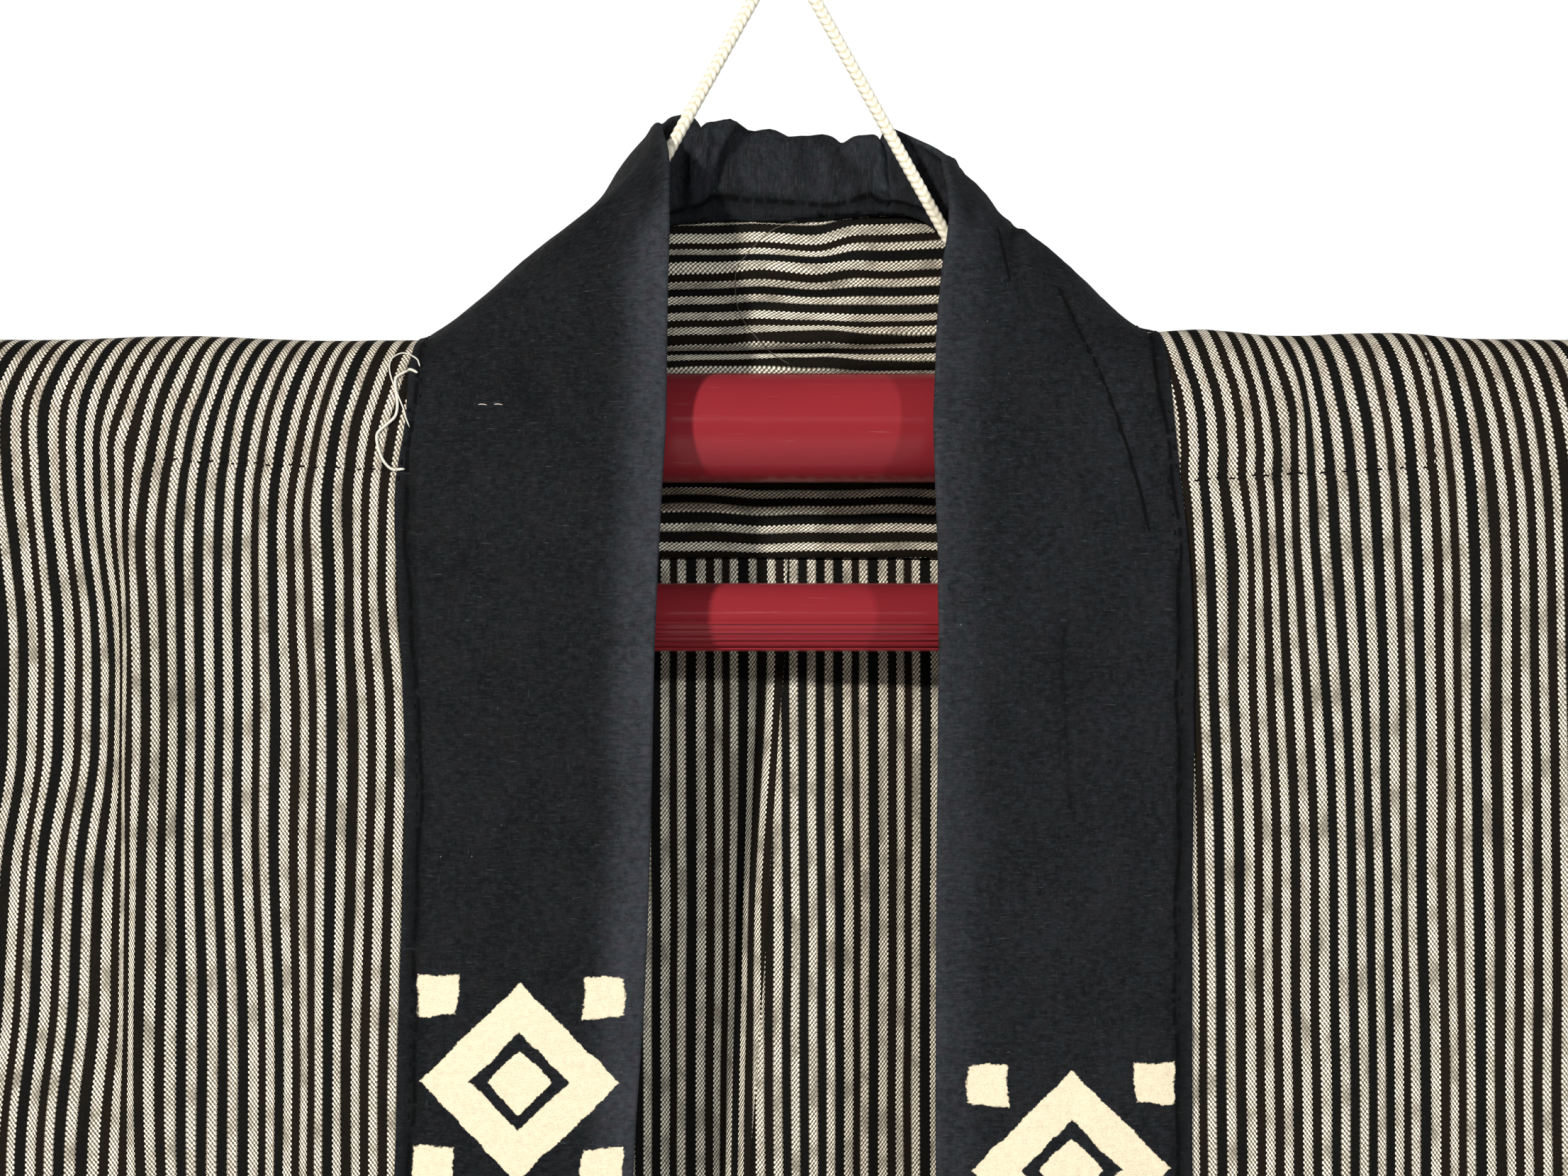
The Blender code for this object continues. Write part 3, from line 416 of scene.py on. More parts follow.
def grid_normals(points: np.ndarray) -> np.ndarray:
    """Unit normals of a grid of points, from its neighbours: columns crossed with rows.

    Args:
        points: Places with x, y, z last.

    Returns:
        The normals, in the shape of the points.
    """
    rows = np.gradient(points, axis=0)
    columns = np.gradient(points, axis=1)
    normals = np.cross(columns, rows)
    length = np.linalg.norm(normals, axis=-1, keepdims=True)
    return normals / np.maximum(length, 1e-12)


def between(a: np.ndarray, b: np.ndarray, c: np.ndarray, d: np.ndarray, t: float) -> np.ndarray:
    """A point between b and c on the smooth curve through four points.

    Args:
        a: The point before b.
        b: Where the stretch starts.
        c: Where the stretch ends.
        d: The point after c.
        t: Share of the way from b to c.

    Returns:
        The point.
    """
    square, cube = 2 * a - 5 * b + 4 * c - d, 3 * b - a - 3 * c + d
    return 0.5 * (2 * b + (c - a) * t + square * t ** 2 + cube * t ** 3)


def smooth_piece(name: str, mesh: bpy.types.Mesh) -> bpy.types.Object:
    """Shade a mesh smooth and add it to the scene as a piece.

    Args:
        name: The piece's name.
        mesh: Its mesh.

    Returns:
        The new object.
    """
    mesh.polygons.foreach_set("use_smooth", np.ones(len(mesh.polygons), dtype=bool))
    mesh.update()
    piece = bpy.data.objects.new(name, mesh)
    bpy.context.scene.collection.objects.link(piece)
    return piece


def sheet_object(
    name: str,
    points: np.ndarray,
    cloth: np.ndarray,
    flip: bool,
    closed: bool = False,
    maps: dict[str, np.ndarray] | None = None,
) -> bpy.types.Object:
    """Make a smooth mesh piece from a grid of points.

    Args:
        name: The piece's name.
        points: Rows and columns of x, y, z; NaN where the cloth is cut away.
        cloth: The same grid of places on the flat cloth, in metres.
        flip: Turn the faces round.
        closed: Join the last column to the first.
        maps: Further named values on the same grid.

    Returns:
        The new object.
    """
    rows, columns = points.shape[:2]
    used = ~np.isnan(points[..., 0])
    index = np.full((rows, columns), -1)
    index[used] = np.arange(int(used.sum()))
    steps = np.arange(columns if closed else columns - 1)
    after = (steps + 1) % columns
    upper, lower = index[:-1], index[1:]
    corners = np.stack([upper[:, steps], upper[:, after], lower[:, after], lower[:, steps]], -1)
    corners = corners.reshape(-1, 4)
    corners = corners[(corners >= 0).all(axis=1)]
    if flip:
        corners = corners[:, ::-1]
    mesh = bpy.data.meshes.new(name)
    mesh.from_pydata(points[used].tolist(), [], corners.tolist())
    layer = mesh.uv_layers.new(name=CLOTH_MAP)
    loops = corners.reshape(-1)
    layer.data.foreach_set("uv", cloth[used][loops].astype(np.float32).reshape(-1))
    for title, values in (maps or {}).items():
        attribute = mesh.attributes.new(title, "FLOAT", "POINT")
        attribute.data.foreach_set("value", values[used].astype(np.float32).reshape(-1))
    return smooth_piece(name, mesh)


def add_wall(piece: bpy.types.Object, thickness: float) -> None:
    """Give a sheet its thickness, inward from its outer face.

    Args:
        piece: The piece's object.
        thickness: Its thickness, in metres.
    """
    wall = piece.modifiers.new("Wall", "SOLIDIFY")
    wall.thickness = thickness
    wall.offset = -1.0
    wall.use_quality_normals = True


def dress(piece: bpy.types.Object, material: bpy.types.Material) -> None:
    """Give a piece its material and its body.

    Args:
        piece: The piece's object.
        material: Its finish.
    """
    piece.data.materials.clear()
    piece.data.materials.append(material)
    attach(piece, BODY)


class NodeSketch:
    """Adds and joins the nodes of one material."""

    def __init__(self, name: str) -> None:
        """Start a material with a Principled shader.

        Args:
            name: The material's name.
        """
        self.material = bpy.data.materials.new(name)
        self.material.use_nodes = True
        self.tree = self.material.node_tree
        self.shader = self.tree.nodes["Principled BSDF"]

    def link(self, socket: Socket, value: Value) -> None:
        """Set a socket from another socket or from a value.

        Args:
            socket: The socket to set.
            value: Another socket, a number or a colour.
        """
        if isinstance(value, bpy.types.NodeSocket):
            self.tree.links.new(value, socket)
        elif isinstance(value, tuple) and len(value) == 3 and socket.type == "RGBA":
            socket.default_value = (*value, 1.0)
        else:
            socket.default_value = value

    def math(self, operation: str, *values: Value, clamp: bool = False) -> Socket:
        """A Math node's result.

        Args:
            operation: The kind of sum.
            values: What it takes.
            clamp: Keep the result from 0 to 1.

        Returns:
            The result.
        """
        node = self.tree.nodes.new("ShaderNodeMath")
        node.operation = operation
        node.use_clamp = clamp
        for socket, value in zip(node.inputs, values):
            self.link(socket, value)
        return node.outputs[0]

    def times(self, a: Value, b: Value) -> Socket:
        """A product."""
        return self.math("MULTIPLY", a, b)

    def plus(self, a: Value, b: Value, clamp: bool = False) -> Socket:
        """A sum."""
        return self.math("ADD", a, b, clamp=clamp)

    def minus(self, a: Value, b: Value) -> Socket:
        """A difference."""
        return self.math("SUBTRACT", a, b)

    def scaled(self, a: Value, scale: Value, shift: Value) -> Socket:
        """A value times a scale, plus a shift."""
        return self.math("MULTIPLY_ADD", a, scale, shift)

    def mix(self, factor: Value, a: Value, b: Value, blend: str = "MIX") -> Socket:
        """A colour between two colours.

        Args:
            factor: Share of the second colour.
            a: First colour.
            b: Second colour.
            blend: How the two are blended.

        Returns:
            The blended colour.
        """
        node = self.tree.nodes.new("ShaderNodeMix")
        node.data_type = "RGBA"
        node.blend_type = blend
        self.link(node.inputs[0], factor)
        self.link(node.inputs[6], a)
        self.link(node.inputs[7], b)
        return node.outputs[2]

    def step(self, value: Socket, low: float, high: float, eased: bool = True) -> Socket:
        """A ramp of a value from 0 at low to 1 at high.

        Args:
            value: The value that is read.
            low: Where the ramp starts.
            high: Where the ramp ends.
            eased: Whether the ramp is eased.

        Returns:
            The ramp's value.
        """
        node = self.tree.nodes.new("ShaderNodeMapRange")
        node.interpolation_type = "SMOOTHSTEP" if eased else "LINEAR"
        self.link(node.inputs[0], value)
        node.inputs[1].default_value = low
        node.inputs[2].default_value = high
        return node.outputs[0]

    def cloth_place(self) -> tuple[Socket, Socket]:
        """The two places on the flat cloth, across and along, in metres.

        Returns:
            Across and along.
        """
        node = self.tree.nodes.new("ShaderNodeUVMap")
        node.uv_map = CLOTH_MAP
        parts = self.tree.nodes.new("ShaderNodeSeparateXYZ")
        self.link(parts.inputs[0], node.outputs[0])
        return parts.outputs[0], parts.outputs[1]

    def spread(self, across: Socket, along: Socket, across_scale: float, along_scale: float) -> Socket:
        """A vector on the flat cloth with its own scale each way, in cycles a metre."""
        return self.vector(self.times(across, across_scale), self.times(along, along_scale))

    def grown(self, place: tuple[Socket, Socket, Socket], scales: tuple[float, float, float]) -> Socket:
        """A vector of three values, each times its own scale."""
        return self.vector(*[self.times(value, scale) for value, scale in zip(place, scales)])

    def centred(self, value: Socket, size: float) -> Socket:
        """A value from 0 to 1 turned into one from minus to plus half a size."""
        return self.scaled(value, size, -0.5 * size)

    def place(self) -> tuple[Socket, Socket, Socket]:
        """Object coordinates as three values.

        Returns:
            The x, y and z values.
        """
        node = self.tree.nodes.new("ShaderNodeTexCoord")
        parts = self.tree.nodes.new("ShaderNodeSeparateXYZ")
        self.link(parts.inputs[0], node.outputs["Object"])
        return parts.outputs[0], parts.outputs[1], parts.outputs[2]

    def attribute(self, name: str) -> Socket:
        """A value stored on the piece's points.

        Args:
            name: Its name.

        Returns:
            The value.
        """
        node = self.tree.nodes.new("ShaderNodeAttribute")
        node.attribute_name = name
        return node.outputs["Fac"]

    def vector(self, x: Value, y: Value, z: Value = 0.0) -> Socket:
        """A vector from three values.

        Args:
            x: First value.
            y: Second value.
            z: Third value.

        Returns:
            The vector.
        """
        node = self.tree.nodes.new("ShaderNodeCombineXYZ")
        for socket, value in zip(node.inputs, (x, y, z)):
            self.link(socket, value)
        return node.outputs[0]

    def noise(self, vector: Socket, detail: float = 2.0, roughness: float = 0.5) -> Socket:
        """Noise from 0 to 1 at a vector that is already scaled.

        Args:
            vector: A place, in cycles.
            detail: Number of finer layers.
            roughness: Strength of the finer layers.

        Returns:
            The noise.
        """
        node = self.tree.nodes.new("ShaderNodeTexNoise")
        self.link(node.inputs["Vector"], vector)
        node.inputs["Scale"].default_value = 1.0
        node.inputs["Detail"].default_value = detail
        node.inputs["Roughness"].default_value = roughness
        return node.outputs["Fac"]

    def scatter(self, value: Socket) -> Socket:
        """One random value from 0 to 1 for each whole number.

        Args:
            value: The whole number.

        Returns:
            The random value.
        """
        node = self.tree.nodes.new("ShaderNodeTexWhiteNoise")
        node.noise_dimensions = "1D"
        self.link(node.inputs["W"], value)
        return node.outputs["Value"]

    def bump(self, height: Socket, distance: float, strength: float = 1.0) -> None:
        """Raise the shaded surface by a height from 0 to 1 times a distance.

        Args:
            height: Height from 0 to 1.
            distance: What a height of 1 measures, in metres.
            strength: Share of the effect.
        """
        node = self.tree.nodes.new("ShaderNodeBump")
        node.inputs["Strength"].default_value = strength
        node.inputs["Distance"].default_value = distance
        self.link(node.inputs["Height"], height)
        self.link(self.shader.inputs["Normal"], node.outputs[0])


@dataclass(frozen=True)
class StripedCotton:
    """Worn cotton with cream stripes of beaded weave on near-black brown, and painted highlights on the
    beads' tops.
    """

    name: str = "striped_cotton"
    pitch: float = STRIPE_PITCH
    cream_share: float = 0.452
    bead_across: float = 0.00044
    bead_along: float = 0.00061
    tooth: float = 0.090
    uneven_place: float = 0.13
    uneven_width: float = 0.05
    bright: tuple[float, float, float] = (0.97, 0.91, 0.76)
    cream: tuple[float, float, float] = (0.52, 0.475, 0.385)
    dull: tuple[float, float, float] = (0.32, 0.295, 0.245)
    pink: tuple[float, float, float] = (0.50, 0.42, 0.35)
    hole: tuple[float, float, float] = (0.105, 0.085, 0.060)
    brown: tuple[float, float, float] = (0.0090, 0.0064, 0.0042)
    black: tuple[float, float, float] = (0.0046, 0.0046, 0.0042)
    grey: tuple[float, float, float] = (0.0160, 0.0140, 0.0120)

    def make(self) -> bpy.types.Material:
        """Build the material.

        Returns:
            The material, laid out on the piece's flat cloth.
        """
        sketch = NodeSketch(self.name)
        across, along = sketch.cloth_place()
        wander = sketch.noise(sketch.spread(across, along, 30.0, 14.0), 1.0)
        stripe = sketch.math("DIVIDE", sketch.plus(across, sketch.centred(wander, 0.0013)), self.pitch)
        number = sketch.math("ROUND", stripe)
        shift = sketch.centred(sketch.scatter(number), self.uneven_place)
        offset = sketch.minus(sketch.minus(stripe, number), shift)
        rows = sketch.math("DIVIDE", along, self.bead_along)
        cream = self.cream_mask(sketch, offset, rows, number)
        beads = sketch.times(across, math.pi / self.bead_across)
        turns = sketch.times(rows, math.pi)
        bead = sketch.times(sketch.math("COSINE", beads), sketch.math("COSINE", turns))
        slant = sketch.math("COSINE", sketch.plus(beads, turns))
        bead = sketch.scaled(slant, 0.30, bead)
        wisp = sketch.noise(sketch.spread(across, along, 1500.0, 1200.0), 3.0, 0.65)
        patch = sketch.noise(sketch.spread(across, along, 200.0, 120.0), 3.0)
        light = self.light_yarn(sketch, across, along, bead, wisp, patch)
        dark = self.dark_yarn(sketch, sketch.math("FLOOR", stripe), bead, wisp, patch)
        sketch.link(sketch.shader.inputs["Base Color"], sketch.mix(cream, dark, light))
        height = sketch.times(cream, sketch.scaled(bead, 0.30, 0.65))
        height = sketch.scaled(wisp, 0.35, height)
        sketch.bump(height, 0.00016, 0.75)
        sketch.shader.inputs["Roughness"].default_value = 0.95
        sketch.shader.inputs["Specular IOR Level"].default_value = 0.06
        return sketch.material

    def cream_mask(self, sketch: NodeSketch, offset: Socket, rows: Socket, number: Socket) -> Socket:
        """Where the cream yarn lies: toothed edges, the two edges half a tooth apart.

        Args:
            sketch: The material's nodes.
            offset: Place in a stripe's pitch, from its middle.
            rows: Place along the cloth, in weave rows.
            number: The stripe's number.

        Returns:
            1 on cream yarn and 0 on dark.
        """
        side = sketch.math("GREATER_THAN", offset, 0.0)
        turn = sketch.times(sketch.plus(rows, side), math.pi / 2)
        tooth = sketch.math("ABSOLUTE", sketch.math("COSINE", turn))
        widen = sketch.centred(sketch.scatter(sketch.plus(number, 0.37)), self.uneven_width)
        half = sketch.scaled(tooth, self.tooth, self.cream_share / 2 - self.tooth * 0.6)
        half = sketch.plus(half, widen)
        return sketch.step(sketch.minus(half, sketch.math("ABSOLUTE", offset)), -0.012, 0.012)

    def light_yarn(
        self, sketch: NodeSketch, across: Socket, along: Socket, bead: Socket, wisp: Socket, patch: Socket
    ) -> Socket:
        """The cream yarn: painted highlights on the beads' tops, dull or pinkish lengths, and darker dots
        where the beads dip.

        Args:
            sketch: The material's nodes.
            across: Place across the cloth, in metres.
            along: Place along the cloth, in metres.
            bead: Height of the weave's beads.
            wisp: Fine noise.
            patch: Coarse noise.

        Returns:
            The yarn's colour.
        """
        soil = sketch.noise(sketch.spread(across, along, 24.0, 16.0), 3.0)
        colour = sketch.mix(sketch.step(patch, 0.40, 0.64), self.dull, self.cream)
        colour = sketch.mix(sketch.times(sketch.step(soil, 0.50, 0.72), 0.55), colour, self.pink)
        # Pinker and darker near the shoulder fold, from the stored map.
        colour = sketch.mix(sketch.times(sketch.attribute(WEAR_AND_SHADE_MAP), 0.55), colour, self.pink)
        wear_and_painted_light = sketch.scaled(wisp, 1.2, sketch.plus(bead, -0.60))
        # Painted highlight on the beads' tops.
        shine = sketch.times(sketch.step(wear_and_painted_light, -0.05, 0.75), sketch.step(patch, 0.28, 0.56))
        colour = sketch.mix(shine, colour, self.bright)
        # Darker dots where the beads dip.
        wear_and_painted_light = sketch.scaled(wisp, 1.7, sketch.plus(bead, -0.90))
        return sketch.mix(sketch.times(sketch.step(wear_and_painted_light, 0.40, -0.58), 0.94), colour, self.hole)

    def dark_yarn(
        self, sketch: NodeSketch, number: Socket, bead: Socket, wisp: Socket, patch: Socket
    ) -> Socket:
        """The dark yarn, browner or blacker from stripe to stripe.

        Args:
            sketch: The material's nodes.
            number: The stripe's number.
            bead: Height of the weave's beads.
            wisp: Fine noise.
            patch: Coarse noise.

        Returns:
            The yarn's colour.
        """
        tint = sketch.plus(sketch.scatter(number), sketch.centred(patch, 0.7))
        colour = sketch.mix(sketch.step(tint, 0.25, 0.75), self.black, self.brown)
        wear_and_painted_light = sketch.scaled(bead, 0.08, wisp)
        return sketch.mix(sketch.times(sketch.step(wear_and_painted_light, 0.50, 0.80), 0.6), colour, self.grey)


@dataclass(frozen=True)
class IndigoCotton:
    """Faded plain-weave cotton with slubs, and a resist-dyed motif low on both fronts; painted shade in its
    stitched groove and creases.
    """

    name: str = "navy_cotton"
    thread: float = 0.00050
    dark: tuple[float, float, float] = (0.0038, 0.0044, 0.0050)
    faded: tuple[float, float, float] = (0.0400, 0.0430, 0.0510)
    shadow: tuple[float, float, float] = (0.0010, 0.0010, 0.0013)
    brown: tuple[float, float, float] = (0.0125, 0.0115, 0.0110)
    slub: tuple[float, float, float] = (0.0520, 0.0570, 0.0620)
    greenish: tuple[float, float, float] = (0.90, 1.05, 1.02)
    plum: tuple[float, float, float] = (1.12, 0.97, 1.05)
    lint: tuple[float, float, float] = (0.42, 0.42, 0.40)
    motif: tuple[float, float, float] = (0.80, 0.69, 0.50)
    motif_pitch: float = 0.050
    motif_half: float = 0.0232
    motif_centre: float = 0.0292
    motif_rows: int = 5

    def motif_mask(self, sketch: NodeSketch, across: Socket) -> Socket:
        """Where the cream motif is: ring, heart and four corner squares of each linked diamond.

        Args:
            sketch: The material's nodes.
            across: Place across the cloth, in metres.

        Returns:
            1 on the motif and 0 beside it.
        """
        down = sketch.attribute(MOTIF_MAP)
        side = sketch.math("ABSOLUTE", sketch.minus(across, self.motif_centre))
        rows = sketch.math("DIVIDE", down, self.motif_pitch)
        local = sketch.centred(sketch.math("FRACT", rows), self.motif_pitch)
        rise = sketch.math("ABSOLUTE", local)
        fray = sketch.noise(sketch.spread(across, down, 1300.0, 1300.0), 3.0)
        wobble = sketch.noise(sketch.spread(across, down, 160.0, 160.0), 2.0)
        fray = sketch.plus(sketch.centred(fray, 0.0012), sketch.centred(wobble, 0.0026))
        reach = sketch.plus(sketch.plus(side, rise), fray)
        soft = 0.00022
        outer = sketch.step(reach, self.motif_half + soft, self.motif_half - soft)
        inner = sketch.step(reach, self.motif_half * 0.50 + soft, self.motif_half * 0.50 - soft)
        heart = sketch.step(reach, self.motif_half * 0.33 + soft, self.motif_half * 0.33 - soft)
        ring = sketch.plus(sketch.minus(outer, inner), heart)
        from_side = sketch.math("ABSOLUTE", sketch.minus(side, self.motif_half * 0.84))
        from_rise = sketch.math("ABSOLUTE", sketch.minus(rise, self.motif_half * 0.86))
        corner = sketch.plus(sketch.math("MAXIMUM", from_side, from_rise), fray)
        square = sketch.step(corner, 0.0047 + soft, 0.0047 - soft)
        shown = sketch.math("GREATER_THAN", down, 0.0)
        shown = sketch.times(shown, sketch.math("LESS_THAN", down, self.motif_pitch * self.motif_rows))
        return sketch.times(sketch.plus(ring, square, clamp=True), shown)

    def streaks(
        self, sketch: NodeSketch, across: Socket, along: Socket, length: float, fine: float,
        low: float, high: float,
    ) -> Socket:
        """Light threads of both directions of the weave, as long and as fine as given.

        Args:
            sketch: The material's nodes.
            across: Place across the cloth, in metres.
            along: Place along the cloth, in metres.
            length: Cycles a metre along a thread.
            fine: Cycles a metre across the threads.
            low: Where the ramp starts.
            high: Where the ramp ends.

        Returns:
            1 on the light threads.
        """
        wefts = sketch.noise(sketch.spread(across, along, length, fine), 2.0, 0.6)
        warps = sketch.noise(sketch.spread(across, along, fine, length * 1.2), 2.0, 0.6)
        light_wefts = sketch.step(wefts, low, high)
        return sketch.math("MAXIMUM", light_wefts, sketch.step(warps, low + 0.03, high + 0.03))

    def make(self) -> bpy.types.Material:
        """Build the material.

        Returns:
            The material, laid out on the band's flat cloth, with the motif from its own map.
        """
        sketch = NodeSketch(self.name)
        across, along = sketch.cloth_place()
        # The stored map holds the band's fading, lowered as painted shade in its creases and along its
        # stitching, and raised as painted light on the creases' lips.
        wear = sketch.attribute(WEAR_AND_SHADE_MAP)
        cloud = sketch.noise(sketch.spread(across, along, 55.0, 32.0), 5.0, 0.65)
        mottle = sketch.noise(sketch.spread(across, along, 560.0, 560.0), 4.0, 0.65)
        weft = sketch.noise(sketch.spread(across, along, 320.0, 1500.0), 3.0, 0.6)
        spread = sketch.scaled(wear, 2.3, 0.62)
        level = sketch.scaled(sketch.centred(cloud, 0.40), spread, wear)
        level = sketch.scaled(sketch.centred(mottle, 0.70), spread, level)
        grainy = sketch.times(sketch.centred(weft, 1.1), sketch.plus(wear, 0.25))
        level = sketch.plus(level, grainy, clamp=True)
        colour = sketch.mix(level, self.dark, self.faded)
        rusty = sketch.noise(sketch.spread(across, along, 130.0, 130.0), 3.0)
        colour = sketch.mix(sketch.times(sketch.step(rusty, 0.45, 0.70), 0.30), colour, self.brown)
        tinted = sketch.noise(sketch.spread(across, along, 420.0, 380.0), 3.0, 0.6)
        hue = sketch.mix(sketch.step(tinted, 0.36, 0.64), self.greenish, self.plum)
        colour = sketch.mix(0.8, colour, hue, "MULTIPLY")
        fine = self.streaks(sketch, across, along, 520.0, 2200.0, 0.53, 0.70)
        colour = sketch.mix(sketch.times(fine, sketch.scaled(wear, 0.60, 0.14)), colour, self.slub)
        slubs = self.streaks(sketch, across, along, 210.0, 1700.0, 0.66, 0.76)
        colour = sketch.mix(sketch.times(slubs, 0.60), colour, self.slub)
        specks = sketch.noise(sketch.spread(across, along, 900.0, 900.0), 1.0)
        colour = sketch.mix(sketch.times(sketch.step(specks, 0.80, 0.84), 0.35), colour, self.lint)
        pale = sketch.mix(sketch.step(mottle, 0.25, 0.8), tuple(c * 0.86 for c in self.motif), self.motif)
        colour = sketch.mix(self.motif_mask(sketch, across), colour, pale)
        from_line = sketch.attribute(STITCH_MAP)
        uneven = sketch.noise(sketch.spread(across, along, 100.0, 420.0), 2.0)
        # Painted shadow in the stitched groove, patchy along it. The strip from the seam to the stitching is
        # darkened halfway to the dark dye.
        deep = sketch.step(sketch.math("ABSOLUTE", from_line), 0.00075, 0.00016)
        deep = sketch.times(deep, sketch.step(uneven, 0.28, 0.52))
        rolled = sketch.step(from_line, 0.0004, -0.0009)
        colour = sketch.mix(sketch.times(rolled, 0.50), colour, self.dark)
        colour = sketch.mix(sketch.times(deep, 0.92), colour, self.shadow)
        sketch.link(sketch.shader.inputs["Base Color"], colour)
        wave_x = sketch.math("SINE", sketch.times(across, 2 * math.pi / self.thread))
        wave_y = sketch.math("SINE", sketch.times(along, 2 * math.pi / self.thread))
        height = sketch.scaled(sketch.times(wave_x, wave_y), 0.35, mottle)
        height = sketch.scaled(fine, 0.5, height)
        height = sketch.scaled(deep, -2.0, height)
        sketch.bump(height, 0.00020, 0.8)
        sketch.shader.inputs["Roughness"].default_value = 0.92
        sketch.shader.inputs["Specular IOR Level"].default_value = 0.10
        return sketch.material


@dataclass(frozen=True)
class RedPlastic:
    """Smooth deep red plastic with fine scratches."""

    name: str = "red_plastic"
    red: tuple[float, float, float] = (0.236, 0.0200, 0.0270)
    deep: tuple[float, float, float] = (0.190, 0.0155, 0.0215)

    def make(self) -> bpy.types.Material:
        """Build the material.

        Returns:
            The material.
        """
        sketch = NodeSketch(self.name)
        x, y, z = sketch.place()
        cloud = sketch.noise(sketch.grown((x, y, z), (30.0, 60.0, 60.0)), 3.0)
        colour = sketch.mix(cloud, self.deep, self.red)
        fine = sketch.noise(sketch.grown((x, y, z), (70.0, 1500.0, 1500.0)), 2.0)
        wear_and_painted_light = sketch.step(fine, 0.68, 0.76)
        colour = sketch.mix(sketch.times(wear_and_painted_light, 0.10), colour, (0.6, 0.35, 0.33))
        sketch.link(sketch.shader.inputs["Base Color"], colour)
        sketch.bump(sketch.times(fine, 0.5), 0.00006, 0.5)
        sketch.shader.inputs["Roughness"].default_value = 0.17
        sketch.shader.inputs["Specular IOR Level"].default_value = 0.14
        return sketch.material


@dataclass(frozen=True)
class PlaitedCotton:
    """Off-white plaited cord or thread, with painted shade between the cord's strands."""

    name: str = "white_cord"
    light: tuple[float, float, float] = (0.88, 0.83, 0.70)
    shade: tuple[float, float, float] = (0.52, 0.46, 0.33)

    def make(self) -> bpy.types.Material:
        """Build the material, on the piece's own map: round the cord and along it.

        Returns:
            The material.
        """
        sketch = NodeSketch(self.name)
        across, along = sketch.cloth_place()
        fibre = sketch.noise(sketch.spread(across, along, 2500.0, 2500.0), 2.0)
        # The stored map paints shade into the grooves between the strands and lights their crowns.
        wear = sketch.attribute(WEAR_AND_SHADE_MAP)
        colour = sketch.mix(wear, self.shade, self.light)
        colour = sketch.mix(sketch.times(fibre, 0.25), colour, self.shade)
        sketch.link(sketch.shader.inputs["Base Color"], colour)
        sketch.bump(fibre, 0.0001, 0.5)
        sketch.shader.inputs["Roughness"].default_value = 0.85
        sketch.shader.inputs["Sheen Weight"].default_value = 0.1
        return sketch.material


@dataclass(frozen=True)
class SewingThread:
    """Twisted sewing thread in one colour."""

    name: str
    colour: tuple[float, float, float]

    def make(self) -> bpy.types.Material:
        """Build the material.

        Returns:
            The material.
        """
        sketch = NodeSketch(self.name)
        x, y, z = sketch.place()
        fibre = sketch.noise(sketch.grown((x, y, z), (3000.0, 3000.0, 3000.0)), 2.0)
        shade = tuple(channel * 0.6 for channel in self.colour)
        sketch.link(sketch.shader.inputs["Base Color"], sketch.mix(fibre, shade, self.colour))
        sketch.bump(fibre, 0.00005, 0.5)
        sketch.shader.inputs["Roughness"].default_value = 0.9
        sketch.shader.inputs["Specular IOR Level"].default_value = 0.08
        return sketch.material


@dataclass(frozen=True)
class Finishes:
    """Every material of the coat and its hanger."""

    stripe: bpy.types.Material
    navy: bpy.types.Material
    red: bpy.types.Material
    cord: bpy.types.Material
    white_thread: bpy.types.Material
    dark_thread: bpy.types.Material
    grey_thread: bpy.types.Material


